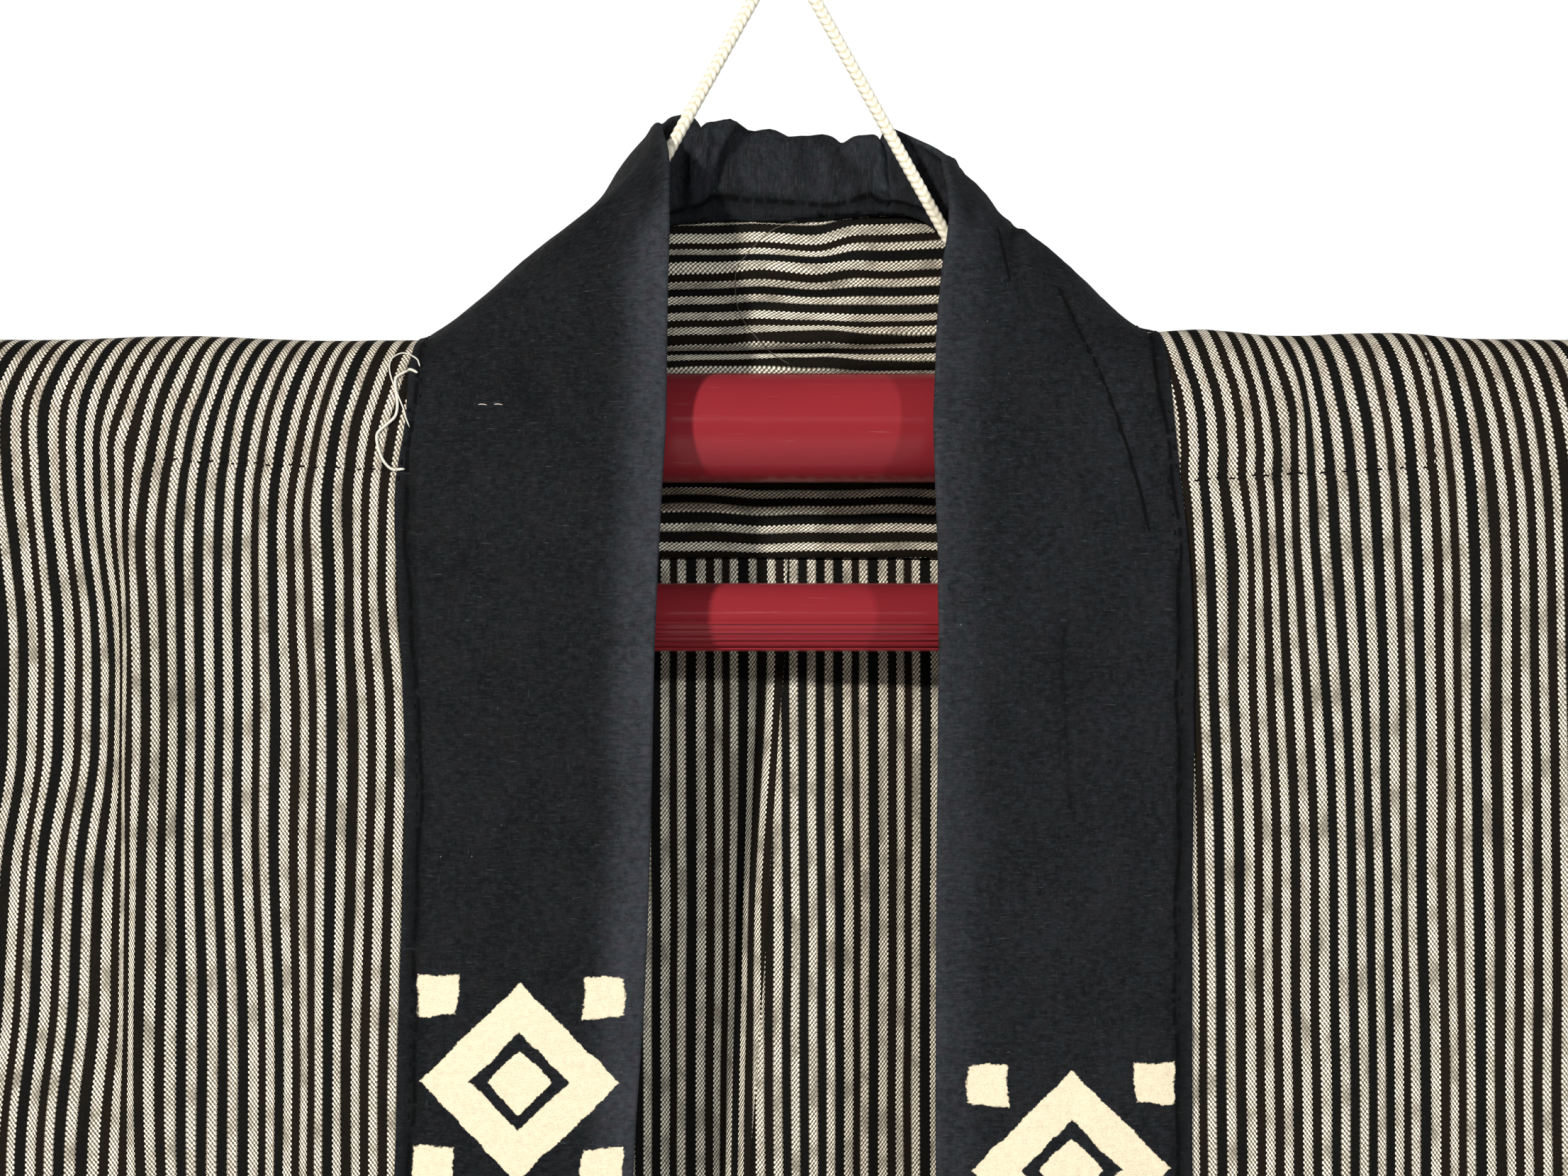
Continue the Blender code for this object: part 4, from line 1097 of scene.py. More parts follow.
@dataclass
class CoatForm:
    """The coat's form as it hangs: the outer face of body, shoulders and sleeves."""

    axis_z: float = -0.1084
    shoulder_z: float = SHOULDER_Z
    length: float = 0.780
    half_width: float = 0.310
    sleeve_width: float = 0.320
    armhole: float = 0.290
    cuff: float = 0.262
    drape: float = 0.0210
    hem_spread: float = 0.0150
    side_start: float = 0.195
    side_closed: float = 0.00135
    side_curve: float = 1.7
    arc: float = 0.0330
    sleeve_fold: float = 0.0028
    wall: float = 0.0012
    gap: float = 0.0003
    stitch_z: float = -0.1193

    @property
    def hem_z(self) -> float:
        """Height of the hem."""
        return self.shoulder_z - self.length

    def edge(self, side: Side) -> tuple[EdgeRow, ...]:
        """The collar edge table of one front."""
        return LEFT_EDGE if side is Side.LEFT else RIGHT_EDGE

    def corner(self, side: Side) -> float:
        """X of the neck's end on the shoulder fold."""
        return (NECK[0] if side is Side.LEFT else NECK[-1]).seam_x

    def neckline(self, x: np.ndarray) -> tuple[np.ndarray, np.ndarray]:
        """Depth and height of the back's top edge: straight between the neck table's rows.

        Args:
            x: Places across the coat.

        Returns:
            The depths and the heights.
        """
        rows_x = [row.seam_x for row in NECK]
        inside = (x > rows_x[0]) & (x < rows_x[-1])
        depth = np.interp(x, rows_x, [row.seam_y for row in NECK])
        height = np.interp(x, rows_x, [row.seam_z for row in NECK])
        return np.where(inside, depth, 0.0), np.where(inside, height, read_rows(RIDGE, "x", "z", x))

    def side_depth(self, z: np.ndarray, bottom_z: float) -> np.ndarray:
        """How far a face stands off the hanger's plane at the armhole."""
        t = np.clip((self.axis_z - z) / (self.axis_z - bottom_z), 0.0, 1.0)
        return self.side_closed + (self.drape - self.side_closed) * (1.0 - t ** self.side_curve)

    def hang_depth(self, x: np.ndarray, z: np.ndarray) -> np.ndarray:
        """How far the body's outer face stands off the hanger's plane.

        Args:
            x: Places across the coat.
            z: Heights.

        Returns:
            The distances.
        """
        fall = np.clip((self.axis_z - z) / (self.axis_z - self.hem_z), 0.0, 1.0)
        middle = mix(self.drape, self.hem_spread, smooth(fall))
        side = self.side_depth(z, self.shoulder_z - self.armhole)
        share = smooth((np.abs(x) - self.side_start) / (self.half_width - self.side_start))
        return mix(middle, side, share)

    def fold_height(self, face: Face, x: np.ndarray, z: np.ndarray) -> np.ndarray:
        """Sum of the folds and creases at places on one face.

        Args:
            face: Which face of the coat.
            x: Places across the coat.
            z: Heights.

        Returns:
            The heights along the normal.
        """
        total = np.zeros_like(x)
        for fold in FOLDS + CREASES:
            if fold.face is not face:
                continue
            t = (fold.z_top - z) / (fold.z_top - fold.z_bottom)
            inside = (t > 0.0) & (t < 1.0)
            fade = smooth(t / 0.3) * smooth((1.0 - t) / 0.3) * inside
            offset = x - mix(fold.x_top, fold.x_bottom, t)
            width = np.where(offset < 0.0, fold.left, fold.right)
            total = total + fold.height * fade * np.exp(-((offset / width) ** 2))
        if face is Face.FRONT:
            line = np.interp(x, [place[0] for place in STITCHED], [place[1] for place in STITCHED])
            inside = (x > STITCHED[0][0]) & (x < STITCHED[-1][0])
            total = total - 0.0008 * np.exp(-(((z - line) / 0.0011) ** 2)) * inside
        return total * smooth((self.half_width - np.abs(x)) / 0.03)

    def height(self, x: np.ndarray, drop: np.ndarray, face: Face) -> np.ndarray:
        """Height of a place at a distance down from the shoulder fold.

        Args:
            x: Places across the coat.
            drop: Distances down from the shoulder fold.
            face: Which face of the coat.

        Returns:
            The heights.
        """
        top_y, top_z = self.neckline(x) if face is Face.BACK else (0.0, read_rows(RIDGE, "x", "z", x))
        share = np.minimum(drop / self.arc, 1.0)
        lowered = mix(1.0 - np.cos(share * math.pi / 2), share, top_y / self.drape)
        return mix(top_z, self.axis_z, lowered) - np.maximum(drop - self.arc, 0.0)

    def point(self, x: np.ndarray, drop: np.ndarray, face: Face) -> np.ndarray:
        """Places of the outer face.

        Args:
            x: Across the coat.
            drop: Down from the shoulder fold, along the cloth.
            face: Front or back.

        Returns:
            The points, with x, y, z last.
        """
        x, drop = np.broadcast_arrays(np.asarray(x, float), np.asarray(drop, float))
        top_y = self.neckline(x)[0] if face is Face.BACK else np.zeros_like(x)
        z = self.height(x, drop, face)
        angle = np.minimum(drop / self.arc, 1.0) * math.pi / 2
        depth = self.hang_depth(x, z) + self.fold_height(face, x, z)
        y = mix(top_y, depth, np.sin(angle))
        return np.stack([x, face.value * y, z], -1)

    def lean(self, side: Side, x: np.ndarray, z: np.ndarray) -> np.ndarray:
        """How far a front's stripes stand aside, in metres.

        Args:
            side: Which half of the coat.
            x: Places across the coat.
            z: Heights.

        Returns:
            The distances.
        """
        table, lanes = (LEFT_LEAN, LEFT_LANES) if side is Side.LEFT else (RIGHT_LEAN, RIGHT_LANES)
        columns = [read_rows(table, "z", name, z) for name in ("lane_a", "lane_b", "lane_c", "lane_d")]
        place = np.clip((x - lanes[0]) / (lanes[-1] - lanes[0]), 0.0, 1.0)
        knots = [(lane - lanes[0]) / (lanes[-1] - lanes[0]) for lane in lanes]
        total = columns[0]
        for i in range(3):
            share = smooth((place - knots[i]) / (knots[i + 1] - knots[i]))
            total = total + (columns[i + 1] - columns[i]) * share
        total = total * 0.001 * smooth((0.40 + z) / 0.10)
        for nudge in STRIPE_NUDGES:
            beside, above = (x - nudge.x) / nudge.wide, (z - nudge.z) / nudge.tall
            total = total + nudge.shift * np.exp(-(beside ** 2) - above ** 2)
        return total


@dataclass
class BodyHalf:
    """One half of the body: a single length of striped cloth, front hem over the shoulder to back hem."""

    side: Side
    form: CoatForm
    fine_step: float = 0.0024
    wide_step: float = 0.0055
    fine_x: float = 0.200
    row_step: float = 0.0026
    long_step: float = 0.0090
    fine_drop: float = 0.235
    thickness: float = 0.0009
    overlap: float = 0.0025
    left_anchor: float = -0.1250
    right_anchor: float = 0.1428
    left_back_anchor: float = -0.0298
    right_back_anchor: float = 0.0158

    def drops(self) -> np.ndarray:
        """Distances of the rows down one face.

        Returns:
            The distances, front or back.
        """
        end = self.form.arc + self.form.axis_z - self.form.hem_z
        stitch = self.form.arc + self.form.axis_z - self.form.stitch_z
        rows = spaced(0.0, stitch - 0.005, self.row_step)
        rows += spaced(stitch - 0.005, stitch + 0.005, 0.0009)
        rows += spaced(stitch + 0.005, self.fine_drop, self.row_step)
        rows += spaced(self.fine_drop, end, self.long_step)
        return np.array(rows + [end])

    def columns(self) -> tuple[np.ndarray, np.ndarray]:
        """Shares of the columns under the neck, and from the neck's corner to the side.

        Returns:
            Both sets of shares.
        """
        corner = abs(self.form.corner(self.side))
        count = int(corner / self.fine_step)
        neck = np.arange(count) / count
        outer = spaced(corner, self.fine_x, self.fine_step)
        outer += spaced(self.fine_x, self.form.half_width, self.wide_step) + [self.form.half_width]
        return neck, (np.array(outer) - corner) / (self.form.half_width - corner)

    def grid(self) -> tuple[np.ndarray, np.ndarray]:
        """Points and cloth places, front hem first, columns from the centre outwards.

        Returns:
            The points and the cloth places.
        """
        form, sign = self.form, self.side.value
        neck, outer = self.columns()
        end_x = sign * form.half_width
        drops = self.drops()
        front_drops = drops[:0:-1]
        z = form.height(np.full_like(front_drops, end_x), front_drops, Face.FRONT)
        seam = (read_rows(form.edge(self.side), "z", "seam_x", z) - sign * self.overlap)[:, None]
        front_x = mix(seam, end_x, outer[None, :])
        front = form.point(front_x, front_drops[:, None], Face.FRONT)
        blank = np.full((len(front_drops), len(neck), 3), np.nan)
        front = np.concatenate([blank, front], axis=1)
        z = form.height(np.full_like(drops, end_x), drops, Face.BACK)
        middle = (read_rows(CENTRE_BACK, "z", "x", z) - sign * 0.0002)[:, None]
        corner = form.corner(self.side)
        near_neck = mix(middle, corner, neck[None, :])
        beyond = mix(corner, end_x, outer[None, :]) + 0 * middle
        back_x = np.concatenate([near_neck, beyond], 1)
        back_drops = drops[:, None] + 0.0 * back_x
        back_drops[0, :len(neck)] = 0.0004
        back = form.point(back_x, back_drops, Face.BACK)
        points = np.concatenate([front, back], axis=0)
        return points, self.cloth(points, len(front_drops), drops)

    def cloth(self, points: np.ndarray, fronts: int, drops: np.ndarray) -> np.ndarray:
        """Where each point lies on the flat cloth: across the stripes and along them.

        Args:
            points: Places with x, y, z last.
            fronts: Number of the front's rows.
            drops: Distances of the back's rows.

        Returns:
            The two places of each point, in metres.
        """
        x, z = points[..., 0], points[..., 2]
        steps = np.hypot(np.diff(x, axis=1), np.diff(points[..., 1], axis=1))
        extra = np.zeros_like(x)
        extra[:, 1:] = np.cumsum(np.nan_to_num(steps - np.abs(np.diff(x, axis=1))), axis=1)
        left = self.side is Side.LEFT
        front_anchor = self.left_anchor if left else self.right_anchor
        back_anchor = self.left_back_anchor if left else self.right_back_anchor
        anchors = np.where(np.arange(len(x)) < fronts, front_anchor, back_anchor)[:, None]
        nearest = np.nanargmin(np.abs(x - anchors), axis=1)
        across = x + self.side.value * (extra - extra[np.arange(len(x)), nearest][:, None])
        across[:fronts] -= self.form.lean(self.side, x[:fronts], z[:fronts])
        top_lean = self.form.lean(self.side, x[fronts:], np.full_like(z[fronts:], self.form.shoulder_z))
        kept = smooth((np.abs(x[fronts:]) - 0.080) / 0.018) * (1.0 - smooth(drops / 0.25))[:, None]
        half = STRIPE_PITCH / 2
        shift = (front_anchor - back_anchor + half) % STRIPE_PITCH - half
        phase = np.where(np.arange(len(x)) < fronts, front_anchor, back_anchor)[:, None]
        across = across - phase
        across[fronts:] -= (top_lean + shift) * kept
        along = np.concatenate([-drops[:0:-1], drops])[:, None] + 0 * x
        return np.stack([across, along], -1)

    def relief(self, points: np.ndarray) -> np.ndarray:
        """Small uneven waves of worn cloth, in metres.

        Args:
            points: Places with x, y, z last.

        Returns:
            The heights along the normal.
        """
        slow = ripple(points, (45.0, 30.0, 14.0), 3.1)
        fine = ripple(points, (160.0, 60.0, 60.0), 8.3)
        quiet = smooth((self.form.half_width - np.abs(points[..., 0])) / 0.02)
        return (slow * 0.0006 + fine * 0.00022) * quiet

    def build(self, finishes: Finishes) -> bpy.types.Object:
        """Make the cloth.

        Args:
            finishes: The coat's materials.

        Returns:
            The finished piece.
        """
        points, cloth = self.grid()
        used = ~np.isnan(points[..., 0])
        filled = np.where(used[..., None], points, 0.0)
        relief = np.where(used, self.relief(filled), 0.0)
        fronts = len(self.drops()) - 1
        sign = np.where(np.arange(len(points)) < fronts, -1.0, 1.0)[:, None]
        lift = np.sin(np.minimum(np.abs(cloth[..., 1]) / self.form.arc, 1.0) * math.pi / 2)
        points[..., 1] += sign * relief * lift
        points[..., 2] += relief * (1.0 - lift) * 0.6
        # Full within 3 cm of the shoulder fold and gone by 6 cm: the cream yarn turns pinker and darker
        # there.
        near_fold = smooth((0.060 - np.abs(cloth[..., 1])) / 0.030)
        maps = {WEAR_AND_SHADE_MAP: near_fold}
        name = f"body_{self.side.word}_cloth"
        piece = sheet_object(name, points, cloth, self.side is Side.LEFT, maps=maps)
        add_wall(piece, self.thickness)
        dress(piece, finishes.stripe)
        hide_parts(f"body_{self.side.word}")
        return piece


@dataclass
class Sleeve:
    """A straight sleeve: a tube of striped cloth folded along its top and sewn below."""

    side: Side
    form: CoatForm
    reach_step: float = 0.0060
    thickness: float = 0.0009

    def ring_share(self) -> tuple[np.ndarray, np.ndarray]:
        """Shares down a face, and angles over the shoulder fold.

        Returns:
            The shares and the angles.
        """
        down = np.linspace(0.0, 1.0, 36)
        top = np.linspace(0.0, math.pi, 16)[1:-1]
        return down, top

    def grid(self) -> tuple[np.ndarray, np.ndarray]:
        """Closed rings of points from armhole to cuff, and their cloth places.

        Returns:
            The points and the cloth places.
        """
        form, sign = self.form, self.side.value
        reaches = np.array(spaced(0.0, form.sleeve_width, self.reach_step) + [form.sleeve_width])
        down, top = self.ring_share()
        rings, places = [], []
        for reach in reaches:
            bottom = form.shoulder_z - mix(form.armhole, form.cuff, reach / form.sleeve_width)
            x = sign * (form.half_width + form.gap + reach)
            z = mix(bottom + form.sleeve_fold, form.axis_z, down)
            hang = (form.axis_z - z) / (form.axis_z - bottom)
            faces = {}
            for face in Face:
                depth = np.maximum(form.side_depth(z, bottom), form.sleeve_fold)
                for fold in SLEEVE_FOLDS:
                    if fold.side is self.side and fold.face is face:
                        wave = math.exp(-(((reach - fold.reach) / fold.width) ** 2))
                        depth = depth + fold.height * wave * smooth(hang / 0.5) * smooth((1.0 - hang) / 0.25)
                depth = np.maximum(depth, form.sleeve_fold)
                faces[face] = np.stack([np.full_like(z, x), face.value * depth, z], -1)
            crown = np.stack(
                [
                    np.full_like(top, x),
                    -form.drape * np.cos(top),
                    form.axis_z + (form.shoulder_z - form.axis_z) * np.sin(top),
                ],
                -1,
            )
            low = np.array([[x, 0.0, bottom]])
            ring = np.concatenate([low, faces[Face.FRONT], crown, faces[Face.BACK][::-1]])
            rings.append(ring)
            run = np.concatenate([[0.0], np.cumsum(np.linalg.norm(np.diff(ring, axis=0), axis=1))])
            places.append(np.stack([np.full_like(run, sign * reach + 0.0006), run], -1))
        return np.array(rings), np.array(places)

    def build(self, finishes: Finishes) -> bpy.types.Object:
        """Make the sleeve.

        Args:
            finishes: The coat's materials.

        Returns:
            The piece.
        """
        points, cloth = self.grid()
        relief = ripple(points, (30.0, 40.0, 18.0), 12.7 + self.side.value) * 0.0007
        ends = np.linspace(0.0, 1.0, len(points))[:, None]
        relief = relief * smooth(ends / 0.05) * smooth((1.0 - ends) / 0.05)
        normals = grid_normals(points) * self.side.value
        points = points + normals * relief[..., None] * 0.8
        name = f"sleeve_{self.side.word}_cloth"
        piece = sheet_object(name, points, cloth, self.side is Side.RIGHT, closed=True)
        add_wall(piece, self.thickness)
        dress(piece, finishes.stripe)
        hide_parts(f"sleeve_{self.side.word}")
        return piece


@dataclass
class ShoulderBacking:
    """The same cloth turned a quarter, inside neck and shoulders, so its stripes run across."""

    form: CoatForm
    half_width: float = 0.150
    front_z: float = -0.1212
    back_z: float = -0.1395
    column_step: float = 0.0024
    row_step: float = 0.0020
    thickness: float = 0.0008
    fine_drops: tuple[float, float, float] = (0.006, 0.030, 0.0004)
    taken_up: float = 0.0040
    phase: float = 0.0036

    def build(self, finishes: Finishes) -> bpy.types.Object:
        """Make the backing, one grid from front edge over the shoulders to the back hem.

        Args:
            finishes: The coat's materials.

        Returns:
            The piece.
        """
        form = self.form
        left, right = form.corner(Side.LEFT), form.corner(Side.RIGHT)
        outer_left = spaced(-self.half_width, left, self.column_step)
        neck = spaced(left, right, self.column_step)
        outer_right = spaced(right, self.half_width, self.column_step) + [self.half_width]
        x = np.array(outer_left + neck + outer_right)
        front_end = form.arc + form.axis_z - self.front_z
        back_end = form.arc + form.axis_z - self.back_z
        front_drops = np.array(spaced(0.0, front_end, self.row_step) + [front_end])[:0:-1]
        fine_from, fine_to, fine_step = self.fine_drops
        back_drops = spaced(0.0, fine_from, self.row_step) + spaced(fine_from, fine_to, fine_step)
        back_drops = np.array(back_drops + spaced(fine_to, back_end, self.row_step) + [back_end])
        front = form.point(x[None, :], front_drops[:, None], Face.FRONT)
        in_neck = (x > left) & (x < right)
        seam_left = read_rows(LEFT_EDGE, "z", "seam_x", front[:, 0, 2])[:, None]
        seam_right = read_rows(RIGHT_EDGE, "z", "seam_x", front[:, 0, 2])[:, None]
        hidden = (x[None, :] > seam_left) & (x[None, :] < seam_right)
        laid = back_drops[:, None] + 0.0 * x[None, :]
        laid[0, in_neck] = -0.0008
        back = form.point(x[None, :], laid, Face.BACK)
        points = np.concatenate([front, back])
        inward = form.wall + form.gap
        points = points - grid_normals(points) * inward
        points[len(front):, :, 1] -= self.wrinkles(points[len(front):])
        steps = np.linalg.norm(np.diff(points, axis=0), axis=-1)
        run = np.concatenate([np.zeros_like(points[:1, :, 0]), np.cumsum(steps, axis=0)])
        level = len(front) + int(np.abs(back_drops - form.arc).argmin())
        across = run - run[level]
        above = len(front) + int(np.abs(points[len(front):level + 1, len(x) // 2, 2] + 0.0775).argmin())
        excess = -across[above] - (points[above, :, 2] - points[level, :, 2]) - self.taken_up
        across = across + excess * smooth((points[..., 2] + 0.096) / 0.016) + self.waves(points)
        points[:len(front)][hidden] = np.nan
        cloth = np.stack([across - self.phase, np.broadcast_to(x[None, :], across.shape)], -1)
        piece = sheet_object("shoulder_backing_cloth", points, cloth, False)
        add_wall(piece, self.thickness)
        dress(piece, finishes.stripe)
        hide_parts("shoulder_backing")
        return piece

    def wrinkles(self, points: np.ndarray) -> np.ndarray:
        """How far the cloth bulges towards the hanger in its wrinkles, in metres.

        Args:
            points: Places with x, y, z last.

        Returns:
            The heights.
        """
        x, z = points[..., 0], points[..., 2]
        total = np.zeros_like(x)
        for wrinkle in BACKING_WRINKLES:
            place = np.clip((x - wrinkle.x_start) / (wrinkle.x_end - wrinkle.x_start), 0.0, 1.0)
            offset = z - mix(wrinkle.z_start, wrinkle.z_end, place)
            width = np.where(offset < 0.0, wrinkle.below, wrinkle.above)
            fade = smooth((x - wrinkle.x_start) / 0.014) * smooth((wrinkle.x_end - x) / 0.014)
            total = total + wrinkle.height * fade * np.exp(-((offset / width) ** 2))
        return total

    def waves(self, points: np.ndarray) -> np.ndarray:
        """How far the crosswise stripes wander, in metres.

        Args:
            points: Places with x, y, z last.

        Returns:
            The distances.
        """
        slow = ripple(points, (24.0, 0.0, 16.0), 21.0) * 0.0012
        fine = ripple(points, (80.0, 0.0, 60.0), 5.0) * 0.0005
        return slow + fine


@dataclass
class Collar:
    """The band collar: double cloth, folded along its free edge and stitched down at its seam."""

    form: CoatForm
    rise: float = 0.0004
    half_thickness: float = 0.0010
    neck_lap: float = 0.0011
    neck_step: float = 0.0026
    front_gap: float = 0.0005
    front_bulge: float = 0.0006
    fine_row: float = 0.0018
    long_row: float = 0.0090
    fine_drop: float = 0.225
    stitch_top: float = 0.0025
    stitch_low: float = 0.0044
    columns: int = 44
    motif_left_z: float = -0.2366
    motif_right_z: float = -0.2569
    bar_lift: float = 0.0070
    bar_z: float = -0.1600
    stitches: list[np.ndarray] = field(default_factory=list)

    def sections(self) -> np.ndarray:
        """Seam, crest and free edge of every section, from the left hem round the neck to the right hem.

        Returns:
            The sections, three points each.
        """
        left = self.front_sections(Side.LEFT)
        right = self.front_sections(Side.RIGHT)
        neck = self.neck_sections(left[0], right[0])
        sections = np.concatenate([left[::-1], neck, right])
        share = 0.5 * np.exp(-(((sections[1:-1, :1, 2:] + 0.0870) / 0.012) ** 2))
        for _ in range(14):
            between = 0.5 * (sections[:-2, 1:] + sections[2:, 1:])
            sections[1:-1, 1:] = mix(sections[1:-1, 1:], between, share)
        return sections

    def neck_rows(self) -> np.ndarray:
        """The neck table as sections."""
        return np.array([astuple(row) for row in NECK]).reshape(-1, 3, 3)

    def neck_sections(self, before: np.ndarray, after: np.ndarray, steps: int = 6) -> np.ndarray:
        """The neck's rows with smooth ones between them; the seam stays straight between rows.

        Args:
            before: The front section before the neck.
            after: The front section after the neck.
            steps: Sections from one row of the neck table to the next.

        Returns:
            The sections.
        """
        rows = self.neck_rows()
        controls = np.concatenate([before[None], rows, after[None]])
        out = []
        for i in range(1, len(rows)):
            a, b, c, d = controls[i - 1:i + 3]
            for step in range(steps):
                t = step / steps
                curve = between(a, b, c, d, t)
                curve[0] = mix(b[0], c[0], t)
                out.append(curve)
        return np.array(out + [rows[-1]])

    def front_sections(self, side: Side) -> np.ndarray:
        """The sections of one front, from just below the shoulder fold down to the hem.

        Args:
            side: Which half of the coat.

        Returns:
            The sections, top first.
        """
        form = self.form
        end = form.arc + form.axis_z - form.hem_z
        drops = spaced(0.0, form.arc, self.fine_row)[1:]
        drops += spaced(form.arc, self.fine_drop, self.fine_row)
        drops += spaced(self.fine_drop, end, self.long_row) + [end]
        drops = np.array(drops)
        table = form.edge(side)
        z = form.height(np.full_like(drops, side.value * form.half_width), drops, Face.FRONT)
        seam = form.point(read_rows(table, "z", "seam_x", z), drops, Face.FRONT)
        low_z = np.minimum(z, form.axis_z)
        free_x = read_rows(table, "z", "free_x", low_z)
        low = form.point(seam[:, 0], form.arc + form.axis_z - low_z, Face.FRONT)
        lift = read_rows(table, "z", "free_lift", low_z)
        lift = lift + self.bar_lift * np.exp(-(((low_z - self.bar_z) / 0.035) ** 2))
        free = np.stack([free_x, low[:, 1] - lift, low_z], -1)
        top = self.neck_rows()[0 if side is Side.LEFT else -1]
        top_share = self.crest_share(top[None])[0]
        near = np.clip(1.0 - drops / form.arc, 0.0, 1.0)[:, None]
        seam = seam + (top[0] - form.point(top[0][0], 0.0, Face.FRONT))[None] * near
        free = mix(free, top[2][None], near)
        share = mix(0.5, top_share, near)
        flat = np.array([[0.0, -self.front_bulge, 0.0]])
        bulge = mix(flat, (top[1] - mix(top[0], top[2], top_share))[None], near)
        crest = mix(seam, free, share) + bulge
        return np.stack([seam, crest, free], 1)

    def crest_share(self, sections: np.ndarray) -> np.ndarray:
        """How far across the collar each crest lies.

        Args:
            sections: Seam, crest and free edge of every section.

        Returns:
            The shares, one a section.
        """
        up = np.linalg.norm(sections[:, 1] - sections[:, 0], axis=-1)
        down = np.linalg.norm(sections[:, 2] - sections[:, 1], axis=-1)
        return up / (up + down)

    def across(self, sections: np.ndarray, share: np.ndarray) -> np.ndarray:
        """Points across every section, over its crest, at shares from seam (0) to free edge (1).

        Args:
            sections: Seam, crest and free edge of every section.
            share: Shares of the way across.

        Returns:
            The points.
        """
        seam, crest, free = (sections[:, i][:, None, :] for i in range(3))
        rise = np.linalg.norm(crest - seam, axis=-1, keepdims=True)
        fall = np.linalg.norm(free - crest, axis=-1, keepdims=True)
        up, down = (crest - seam) / rise, (free - crest) / fall
        over = up * fall + down * rise
        over = over / np.linalg.norm(over, axis=-1, keepdims=True)
        split = (rise / (rise + fall))
        share = share[..., None]
        lap = up * np.minimum(share, 0.0) * (rise + fall)
        first = np.clip(share / split, 0.0, 1.0)
        second = np.clip((share - split) / (1.0 - split), 0.0, 1.0)
        near = hermite(seam, crest, (up * 1.5 - over * 0.5) * rise, over * rise, first)
        far = hermite(crest, free, over * fall, (down * 1.5 - over * 0.5) * fall, second)
        return np.where(share < split, near, far) + lap

    def shares(self, widths: np.ndarray, heights: np.ndarray) -> tuple[np.ndarray, np.ndarray]:
        """Shares of the columns of each section, close together at both rounded edges.

        Args:
            widths: Each section's width.
            heights: Height of each section's seam.

        Returns:
            The shares, and how full the band is there, from 0 at its very edges to 1.
        """
        form = self.form
        bent = smooth((heights - form.axis_z) / (form.shoulder_z - form.axis_z))
        start = mix(self.front_gap, -self.neck_lap, bent)[:, None]
        edge = np.array([0.0, 0.05, 0.22, 0.55, 1.0]) * self.half_thickness
        middle = np.linspace(0.0, 1.0, self.columns)[1:-1]
        middle = middle + 0.11 * np.sin(2 * math.pi * middle)
        inner = start + edge[None, :]
        outer = widths[:, None] - edge[::-1][None, :]
        body = mix(inner[:, -1:], outer[:, :1], middle[None, :])
        reach = np.concatenate([inner, body, outer], 1)
        round_off = np.sqrt(1.0 - (1.0 - edge / self.half_thickness) ** 2)
        full = np.concatenate([round_off, np.ones_like(middle), round_off[::-1]])
        return reach / widths[:, None], full

    def inset(self, heights: np.ndarray) -> np.ndarray:
        """How far the stitching runs inside the sewn edge."""
        return mix(self.stitch_top, self.stitch_low, smooth((-0.112 - heights) / 0.060))

    def from_stitches(self, reach: np.ndarray, run: np.ndarray, heights: np.ndarray) -> np.ndarray:
        """How far each point lies from the wavy line of the stitching, in metres."""
        wave = 0.00045 * np.sin(run * 95.0) + 0.00030 * np.sin(run * 263.0 + 1.0)
        return reach - (self.inset(heights) + wave)[:, None]

    def groove(self, reach: np.ndarray, run: np.ndarray, heights: np.ndarray, width: float) -> np.ndarray:
        """The line of the stitching, 1 in its middle."""
        return np.exp(-((self.from_stitches(reach, run, heights) / width) ** 2))

    def relief(
        self, points: np.ndarray, reach: np.ndarray, run: np.ndarray, widths: np.ndarray
    ) -> np.ndarray:
        """Ripples, the stitched groove and the creases of the band, in metres.

        Args:
            points: Places with x, y, z last.
            reach: Distances from the seam, across the band.
            run: Distances along the band.
            widths: The band's width at each section.

        Returns:
            The heights along the normal.
        """
        x, y, z = points[..., 0], points[..., 1], points[..., 2]
        along = np.broadcast_to(run[:, None], reach.shape)
        sample = np.stack([reach, along * 0 + np.sign(x) * 0.05, along], -1)
        slow = ripple(sample, (32.0, 1.0, 14.0), 2.2) * 0.0012
        fine = ripple(sample, (120.0, 1.0, 85.0), 6.4) * 0.0004
        rough = ripple(sample, (330.0, 1.0, 330.0), 1.7) * 0.00014
        pits = 0.5 + 0.5 * np.cos(along * 2 * math.pi / 0.0042)
        pits = pits * (0.75 + 0.6 * ripple(sample, (1.0, 1.0, 160.0), 4.1))
        groove = -0.0011 * self.groove(reach, run, points[:, 0, 2], 0.0009) * (0.35 + 0.65 * pits)
        line = self.inset(points[:, 0, 2])[:, None]
        puff = 0.00045 * np.exp(-(((reach - line * 0.45) / 0.0011) ** 2)) * (1.0 - 0.4 * pits)
        rim = 0.00045 * np.exp(-(((widths[:, None] - reach - 0.0022) / 0.0018) ** 2))
        total = slow + fine + rough + groove + puff + rim
        for crease in COLLAR_CREASES:
            total = total + crease.depth_at(points)
        round_neck = smooth((z - self.form.axis_z) / 0.03) * smooth((y + 0.004) / 0.012)
        gathers = ripple(sample, (24.0, 1.0, 150.0), 9.9) * 0.0019
        gathers = gathers + ripple(sample, (110.0, 1.0, 110.0), 4.4) * 0.0013
        edge = smooth((widths[:, None] - reach) / 0.004) * 0.65 + 0.35
        return total + gathers * round_neck * edge

